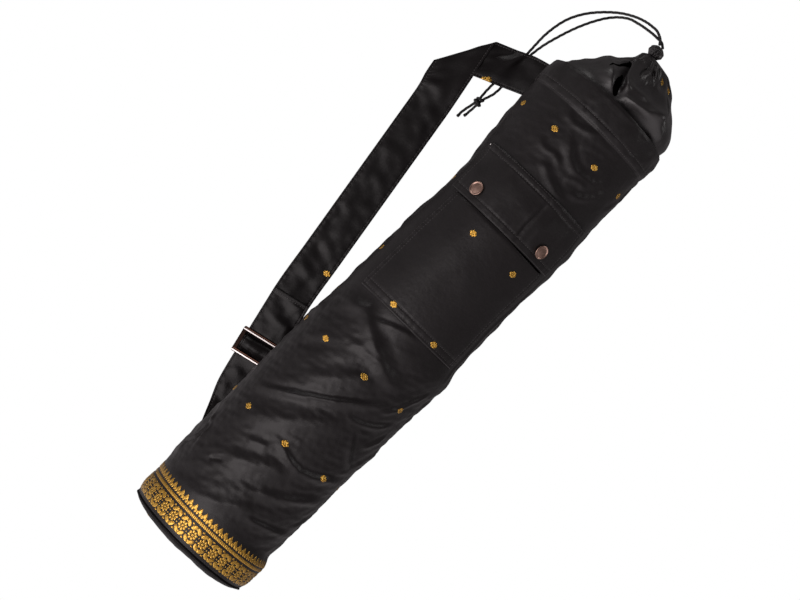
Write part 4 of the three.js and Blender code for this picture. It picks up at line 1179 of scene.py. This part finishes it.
# The drawstring's two strands, from the channel to their cut ends
CORD_OUTER = [
    (419.6, 9, 67.5), (424.5, 12.5, 68), (429.5, 20, 63), (432, 30, 50), (432.4, 42, 33), (430, 54, 17.5),
    (424.3, 66, 7.6), (412.2, 80.5, 4.4), (396, 94.5, 1.8), (380, 103.2, 1.6), (360, 108.4, 1.6),
    (346, 109.8, 1.6), (333, 109.6, 1.6), (320, 109.2, 1.6), (300, 110.5, 1.6), (280, 112.2, 1.6),
    (266, 112.9, 1.6), (254, 112.8, 1.9), (246.4, 112.2, 2.6), (240, 112.2, 3.4), (234.3, 113.4, 2.7),
    (228, 114.9, 1.9), (221, 116.2, 1.6), (212.4, 116.4, 1.9)]
CORD_INNER = [
    (419.6, 3.6, 66), (423.5, 8, 64.5), (425.5, 18, 58), (426.6, 31, 44), (427, 43, 27), (425.6, 55, 11.5),
    (420, 64.5, 2.6), (410.5, 73, 1.6), (400.4, 79.4, 1.6), (385, 87.2, 1.6), (369.5, 93.4, 1.6),
    (354, 98.4, 1.6), (338.5, 102.6, 1.6), (320, 105.4, 1.6), (300, 105.4, 1.6), (285, 104, 1.6),
    (272, 103.6, 1.6), (259, 104.6, 1.9), (247.4, 108.2, 2.6), (240, 109.4, 3.4), (234, 109.7, 2.7),
    (228, 110.2, 1.9), (223, 110.7, 1.6), (218, 111.2, 1.9)]
BRAID_PITCH = 7.5
KNOT_MIDDLE = np.array([240.3, 110.7, 4.3])
KNOT_WAY = np.array([11.4, -1.8, 0.0])
KNOT_WRAPS = 2.35


def smooth_route(points, spacing):
    """Even points on a smooth curve through the given ones."""
    route = np.array(points, float)[:, None, :]
    fine, _ = refine_rows(route, spacing / 3)
    fine = fine[:, 0]
    length = np.concatenate([[0], np.cumsum(np.linalg.norm(np.diff(fine, axis=0), axis=1))])
    count = int(length[-1] / spacing) + 1
    even = np.linspace(0, length[-1], count)
    return np.stack([np.interp(even, length, fine[:, k]) for k in range(3)], -1), even


def build_tube_of_cord(name, nodes, route, lengths, radius_at, sides):
    """A closed tube whose radius depends on the length along it and the angle round it."""
    ways = np.gradient(route, axis=0)
    ways /= np.linalg.norm(ways, axis=1, keepdims=True)
    side = np.cross(ways[0], (0.0, 0.0, 1.0))
    side /= np.linalg.norm(side)
    angles = np.linspace(0, 2 * math.pi, sides + 1)
    rings = []
    for place, way, length in zip(route, ways, lengths):
        side = side - way * side.dot(way)
        side /= np.linalg.norm(side)
        radius = radius_at(length, angles)
        up = np.cross(side, way)
        across = np.outer(np.cos(angles) * radius, side) + np.outer(np.sin(angles) * radius, up)
        rings.append(place + across)
    rings = np.array(rings)
    rings[0], rings[-1] = route[0], route[-1]
    u, v = np.broadcast_arrays(lengths[:, None], (angles * 1.5)[None, :])
    piece = sheet_mesh(name, rings[:, ::-1], np.stack([u, v], -1)[:, ::-1], BRAID, closed=True)
    return dress(piece, "braid", *nodes)


def braid_weave(length, angle):
    turns = length * 2 * math.pi / BRAID_PITCH
    return np.maximum(np.cos(3 * angle + turns), np.cos(3 * angle - turns + 1.0))


def build_cord(name, points, nodes):
    """One strand with its end, which the knot goes with."""
    route, lengths = smooth_route(points, 0.4)
    total = lengths[-1]

    def radius_at(length, angle):
        seal = 1 + 0.2 * ease(length, total - 5, total - 2.5) - 0.3 * ease(length, total - 1.0, total)
        return (CORD_DIAMETER / 2) * (0.97 + 0.1 * braid_weave(length, angle)) * seal

    piece = build_tube_of_cord(name, nodes, route, lengths, radius_at, 24)


def build_knot():
    """An overhand knot that both strands share."""
    way = KNOT_WAY / np.linalg.norm(KNOT_WAY)
    side, up = left_of(way), np.array([0.0, 0.0, 1.0])
    points = []
    for t in np.arange(64) / 63:
        angle = 2 * math.pi * KNOT_WRAPS * t + 0.6
        along = mix(-4.2, 4.2, t) + 1.3 * math.sin(angle * 0.5)
        wide = 4.1 * (0.55 + 0.45 * max(0.0, math.sin(math.pi * t)) ** 0.4)
        offset = side * wide * math.cos(angle) + up * 0.72 * wide * math.sin(angle)
        points.append(KNOT_MIDDLE + way * along + offset)
    route, lengths = smooth_route(points, 0.5)

    def radius_at(length, angle):
        return 1.75 * (0.9 + 0.12 * braid_weave(length, angle))

    return build_tube_of_cord("knot_wraps", ["cord_knot"], route, lengths, radius_at, 20)


# Woven gold and stitching
class Joined:
    """Collects many small shapes into one mesh."""

    def __init__(self):
        self.points, self.faces, self.coords, self.count = [], [], [], 0

    def add(self, points, faces, coords):
        self.points.append(points)
        self.coords.append(coords)
        self.faces.extend([[index + self.count for index in face] for face in faces])
        self.count += len(points)

    def build(self, name, material, slot):
        points, coords = np.concatenate(self.points), np.concatenate(self.coords)
        dress(make_mesh(name, points, self.faces, coords, material), slot)


def circle(x, arc, long, wide, count, turn=0.0):
    """An outline of evenly spread places round a middle."""
    angles = np.linspace(0, 2 * math.pi, count, endpoint=False) + turn
    return [(x + long * math.cos(a), arc + wide * math.sin(a)) for a in angles]


def raised_shape(joined, outline, surface, height=0.35):
    """A low pillow of thread over an outline of places on the unrolled cloth."""
    outline = np.array(outline, float)
    centre = outline.mean(0)
    n = len(outline)
    rings = [centre + (outline - centre) * share for share in (1.0, 0.86, 0.45)]
    flat = np.concatenate(rings + [centre[None]])
    lifts = np.repeat([0.05, height * 0.8, height, height], [n, n, n, 1])
    pairs = [(k, (k + 1) % n) for k in range(n)]
    faces = [[start + a, start + b, start + b + n, start + a + n] for start in (0, n) for a, b in pairs]
    faces += [[2 * n + a, 2 * n + b, 3 * n] for a, b in pairs]
    if np.cross(outline - centre, np.roll(outline, -1, axis=0) - centre).sum() < 0:
        faces = [face[::-1] for face in faces]
    joined.add(surface(flat[:, 0], flat[:, 1], lifts), faces, flat)


def petal(cx, cy, heading, length, width, points=10, point=0.0):
    """An outline of a petal that starts at a place and runs in a heading."""
    outline = []
    for k in range(points):
        angle = 2 * math.pi * k / points
        along = length / 2 * (1 + math.cos(angle))
        narrow = 1 - point * (along / length)
        across = width / 2 * math.sin(angle) * narrow
        c, s = math.cos(heading), math.sin(heading)
        outline.append((cx + along * c - across * s, cy + along * s + across * c))
    return outline


def border_flower(joined, x, arc, reach=5.8, centre=0.3, petals=8):
    start = reach * (centre + 0.06)
    for k in range(petals):
        heading = math.pi / 8 + 2 * math.pi * k / petals
        foot = x + start * math.cos(heading), arc + start * math.sin(heading)
        raised_shape(joined, petal(*foot, heading, reach - start, reach * 4.1 / petals), on_body)
    raised_shape(joined, circle(x, arc, reach * centre, reach * centre, 8), on_body, 0.35 * 1.2)


def stitch_seed(joined, x, arc, long, wide, surface=on_body):
    """A small round stitch."""
    raised_shape(joined, circle(x, arc, long, wide, 6), surface)


FLOWERS_ROUND = 33
LEAVES_ROUND = 66
ROPE_ROUND = 220


def build_border():
    """The woven border: flowers between two rows of hearts, a rope line and a row of leaves."""
    joined = Joined()
    pitch = ROUND / FLOWERS_ROUND
    middle = BASE_X + 15.0
    for k in range(FLOWERS_ROUND):
        arc = -ROUND / 2 + (k + 0.5) * pitch
        border_flower(joined, middle, arc)
        between = arc + pitch / 2
        for side in (-1, 1):
            for half in (-1, 1):
                foot = middle + side * 4.6, between + half * 0.8
                along, across = side * (10.2 - 4.6), half * (7.1 - 0.8)
                heading, length = math.atan2(across, along), math.hypot(across, along)
                raised_shape(joined, petal(*foot, heading, length, 4.7, 12), on_body)
            stitch_seed(joined, middle + side * 9.9, between, 1.1, 1.8)
            stitch_seed(joined, middle + side * 2.0, between, 1.0, 0.8)
            stitch_seed(joined, middle + side * 7.6, arc, 1.0, 1.1)
    pitch = ROUND / ROPE_ROUND
    low, high, width = BASE_X + 28.0, BASE_X + 31.6, pitch * 0.92
    for k in range(ROPE_ROUND):
        arc = -ROUND / 2 + k * pitch
        outline = [(low, arc), (high, arc + 1.1), (high, arc + 1.1 + width), (low, arc + width)]
        raised_shape(joined, outline, on_body, 0.3)
    foot = BASE_X + 33.4
    for k in range(LEAVES_ROUND):
        arc = -ROUND / 2 + (k + 0.5) * ROUND / LEAVES_ROUND
        for side in (-1, 1):
            raised_shape(joined, petal(foot, arc + side * 1.9, side * 0.12, 5.0, 3.4), on_body)
        raised_shape(joined, petal(foot + 2.6, arc, 0.0, 6.4, 6.6, 12, 0.7), on_body)
    joined.build("gold_border", GOLD, "satin")


def gold_dot(joined, x, arc, surface, tall=4.8, wide=3.55):
    """A small filled flower of six petals, taller than wide."""
    raised_shape(joined, circle(x, arc, wide * 0.95, tall * 0.92, 6, math.pi / 2), surface, 0.25)
    for a in np.linspace(0, 2 * math.pi, 6, endpoint=False) + math.pi / 2:
        across, along = tall * math.sin(a), wide * math.cos(a)
        foot = x + 0.9 * math.cos(a), arc + 0.9 * math.sin(a)
        outline = petal(*foot, math.atan2(across, along), math.hypot(across, along) - 1.0, 3.5)
        raised_shape(joined, outline, surface, 0.45)
    stitch_seed(joined, x, arc, 1.2, 1.3, surface)


# Gold flowers on the base: place across it and height over the axis
BASE_DOTS = ((-6.0, 31.0), (-47.0, 24.0), (36.0, 24.0), (-6.0, -30.0))
# Gold flowers on the pocket, at stations and arcs, and on the collar, as they are seen
POCKET_DOTS = ((11.2, 19.4), (10.2, -42.7), (124.8, 11.9), (123.5, -51.6))
COLLAR_DOTS = ((393.5, -19), (391.5, -31))
# Gold flowers woven into the body: columns along X, and the arc of one flower of each column
DOT_COLUMNS = ((-176.0, -2.3), (-66.0, -12.3), (46.8, 103.4), (157.0, 109.9), (266.0, 27.7))
DOT_PITCH = 61.2
SEAM_MARGIN = 22
COVERED = ((POCKET_X, POCKET_TOP - 6, POCKET_ARCS), (FLAP_X, FLAP_END, FLAP_ARCS))


def is_covered(x, arc):
    """Whether the pocket or its flap covers a flower."""
    return any(start - 6 < x < end + 6 and low - 6 < arc < high + 6 for start, end, (low, high) in COVERED)


def on_pocket(x, arc, lift):
    return on_body(x, arc, lift + 2.0)


def build_dots():
    joined = Joined()
    for x, first in DOT_COLUMNS:
        for arc in first + DOT_PITCH * np.arange(-5, 6):
            if abs(arc) < ROUND / 2 - SEAM_MARGIN and not is_covered(x, arc):
                gold_dot(joined, x, arc, on_body)
    for dot in POCKET_DOTS:
        gold_dot(joined, *dot, on_pocket)
    for dot in COLLAR_DOTS:
        gold_dot(joined, *collar_place(*dot), on_collar)
    for dot in BASE_DOTS:
        gold_dot(joined, *dot, on_base)
    joined.build("gold_flowers", GOLD, "satin")


def stitch_row(joined, points, normals, pitch=3.3, length=2.3, radius=0.26):
    """Short raised threads along a line of places on a cloth."""
    points, normals = np.asarray(points), np.asarray(normals)
    lengths = np.concatenate([[0], np.cumsum(np.linalg.norm(np.diff(points, axis=0), axis=1))])
    if lengths[-1] < pitch:
        return
    for start in np.arange(0.5, lengths[-1] - length, pitch):
        ends = [np.array([np.interp(start + d, lengths, points[:, k]) for k in range(3)])
                for d in (0, length * 0.25, length * 0.75, length)]
        normal = np.array([np.interp(start, lengths, normals[:, k]) for k in range(3)])
        way = ends[-1] - ends[0]
        way /= max(np.linalg.norm(way), 1e-6)
        normal = normal - way * normal.dot(way)
        normal /= max(np.linalg.norm(normal), 1e-6)
        side = np.cross(way, normal)
        rings = []
        for place, size, lift in zip(ends, (0.45, 1.0, 1.0, 0.45), (-0.12, 0.1, 0.1, -0.12)):
            for a in np.linspace(0, 2 * math.pi, 7)[:-1]:
                offset = (side * math.cos(a) * 1.2 + normal * math.sin(a)) * radius * size
                rings.append(place + normal * lift + offset)
        faces = [[r * 6 + k, r * 6 + (k + 1) % 6, (r + 1) * 6 + (k + 1) % 6, (r + 1) * 6 + k]
                 for r in range(3) for k in range(6)]
        faces = [face[::-1] for face in faces] + [[0, 1, 2, 3, 4, 5], [23, 22, 21, 20, 19, 18]]
        joined.add(np.array(rings), faces, np.zeros((24, 2)))


def pocket_top(x, arc, lift=0.0):
    return on_body(x, arc, 1.65 + pocket_detail(x, arc) + lift)


def flap_top(x, arc, lift=0.0):
    return on_body(x, arc, flap_height(x) + FLAP_CLOTH + flap_detail(x, arc) + lift)


def cuff_top(x, arc):
    return cuff_surface(x, turn_of_arc(arc))


def body_top(x, arc):
    return on_body(x, arc, 0.1)


def cloth_rows():
    """Each row of stitches on the cloth: the surface it lies on, its stations and its arcs."""
    hem_arcs = np.linspace(POCKET_ARCS[0] + 2, POCKET_ARCS[1] - 2, 160)
    yield from ((pocket_top, POCKET_X + row, hem_arcs) for row in POCKET_HEM_ROWS)
    up_pocket = np.linspace(POCKET_X + 4, FLAP_X + 2, 120)
    for row in POCKET_SIDE_ROWS:
        yield pocket_top, up_pocket, POCKET_ARCS[0] + row
        yield pocket_top, up_pocket, POCKET_ARCS[1] - row
    free, sewn = FLAP_X + FLAP_FREE_ROW, FLAP_END - FLAP_SEWN_ROW
    sides = FLAP_ARCS[0] + FLAP_SIDE_ROW, FLAP_ARCS[1] - FLAP_SIDE_ROW
    yield flap_top, free, np.linspace(*sides, 170)
    wide = np.linspace(FLAP_ARCS[0] + 2, FLAP_ARCS[1] - 2, 170)
    yield from ((flap_top, x, wide) for x in (sewn, FLAP_SEAM))
    yield from ((flap_top, np.linspace(free, sewn, 50), arc) for arc in sides)
    all_round = np.linspace(-ROUND / 2, ROUND / 2, 420)
    yield from ((cuff_top, CUFF_START + row, all_round) for row in CUFF_ROWS)
    yield body_top, BASE_X + 1.6, all_round


# A pale thread end on the flap's seam, at the corner nearest the strap
TACK_RADIUS = 1.1
TACK_PLACE = (FLAP_SEAM + 4, FLAP_ARCS[1] - 2.6)


def build_stitching(strap_lines):
    joined = Joined()
    for surface, xs, arcs in cloth_rows():
        xs, arcs = np.broadcast_arrays(np.asarray(xs, float), np.asarray(arcs, float))
        stitch_row(joined, surface(xs, arcs), outward(turn_of_arc(arcs)))
    for points, normals in strap_lines:
        stitch_row(joined, points, normals)
    joined.build("stitching", STITCH, "satin")
    tack = Joined()
    raised_shape(tack, circle(*TACK_PLACE, TACK_RADIUS, TACK_RADIUS, 8), flap_top)
    tack.build("flap_tack", TACK, "satin")


def column_lines(strap, start=0.0):
    """Lines of places and normals along both stitched edges of a strap's visible face."""
    lengths, side, facing = strap
    for edge in (STITCH_IN - STRAP_WIDTH / 2, STRAP_WIDTH / 2 - STITCH_IN):
        k = int(np.argmin(np.abs(OFFSETS - edge)))
        yield side[lengths >= start, k], facing[lengths >= start, k]


def cross_line(strap, length):
    """A line across a strap's visible face at a length along it."""
    lengths, side, facing = strap
    k = int(np.argmin(np.abs(lengths - length)))
    return side[k, 5:-5], facing[k, 5:-5]


def strap_flower(joined, strap, length, offset):
    """A woven gold flower on the strap's visible face, cut off where it meets the edge."""
    lengths, side, facing = strap

    def surface(x, arc, lift):
        rows = np.clip(np.interp(x, lengths, np.arange(len(lengths))), 0, len(lengths) - 1.001)
        cols = np.clip(np.interp(arc, OFFSETS, np.arange(len(OFFSETS))), 0, len(OFFSETS) - 1.001)
        r, c = rows.astype(int), cols.astype(int)
        fr, fc = (rows - r)[:, None], (cols - c)[:, None]
        place = mix(mix(side[r, c], side[r + 1, c], fr), mix(side[r, c + 1], side[r + 1, c + 1], fr), fc)
        return place + facing[r, c] * (np.asarray(lift) + 0.12)[:, None]

    gold_dot(joined, length, offset, surface)


# The pieces
knot = build_knot()
build_cord("cord_strand_outer", CORD_OUTER, ("cord_outer", "tail_outer"))
build_cord("cord_strand_inner", CORD_INNER, ("cord_inner", "tail_inner"))
upper = build_strap("strap_upper_cloth", "strap_upper", upper_strap_rows(), 71)
lower = build_strap("strap_lower_cloth", "strap_lower", lower_strap_rows(), 81, HEM_LENGTH)
build_slider()
build_body()
build_cuff()
build_base()
build_panels()
build_collar()
build_channel()
build_snaps()
build_tucks()
build_flap_gap()
build_border()
build_dots()
strap_gold = Joined()
strap_flower(strap_gold, upper, upper[0][-1] - 118, -17.0)
strap_flower(strap_gold, upper, 61.0, 22.0)
strap_gold.build("gold_strap_flowers", GOLD, "strap_satin")
build_stitching([*column_lines(upper, 14), *column_lines(lower), cross_line(lower, 4.3)])

# The white floor of a product picture: evenly lit, so it shows no shadows
FLOOR_REACH = 4000
corners = [(x * FLOOR_REACH, y * FLOOR_REACH, 0) for x, y in ((-1, -1), (1, -1), (1, 1), (-1, 1))]
white = plain("floor_white", (0.0, 0.0, 0.0), Emission_Color=(1, 1, 1, 1), Emission_Strength=1.0)
floor = make_mesh("floor", corners, [(0, 1, 2, 3)], np.zeros((4, 2)), white)
floor.location.z = -0.0002
floor.visible_diffuse = False
floor.visible_glossy = False

# The camera, the lights, and a dim room that is bright low down on the side of the window
aim_camera()
area_light("key", (-0.7, 0.32, 1.35), (-0.05, 0, 0.08), (1.1, 1.1), 12.5, (1.0, 0.93, 0.93))
area_light("far_left", (1.35, 1.15, 0.32), (0.35, 0.03, 0.08), (0.9, 0.6), 5.5, (1.0, 0.97, 0.96))
area_light("far_right", (1.35, -1.15, 0.32), (0.35, -0.03, 0.08), (0.9, 0.6), 5.5, (1.0, 0.97, 0.96))
world = bpy.data.worlds.new("studio")
bpy.context.scene.world = world
room = Nodes(world, "Background")
facing = room.add("VectorMath", "Value", room.coords("Generated"), (-0.9, 0.1, 0.22),
                  settings={"operation": "DOT_PRODUCT"})
strength = room.add("MapRange", "Result", Value=facing, From_Min=-0.3, From_Max=1.0, To_Min=0.16, To_Max=1.42,
                    settings={"interpolation_type": "SMOOTHSTEP"})
room.finish(Strength=strength, Color=(1.0, 0.93, 0.945, 1))
bpy.context.scene.view_settings.view_transform = "Standard"
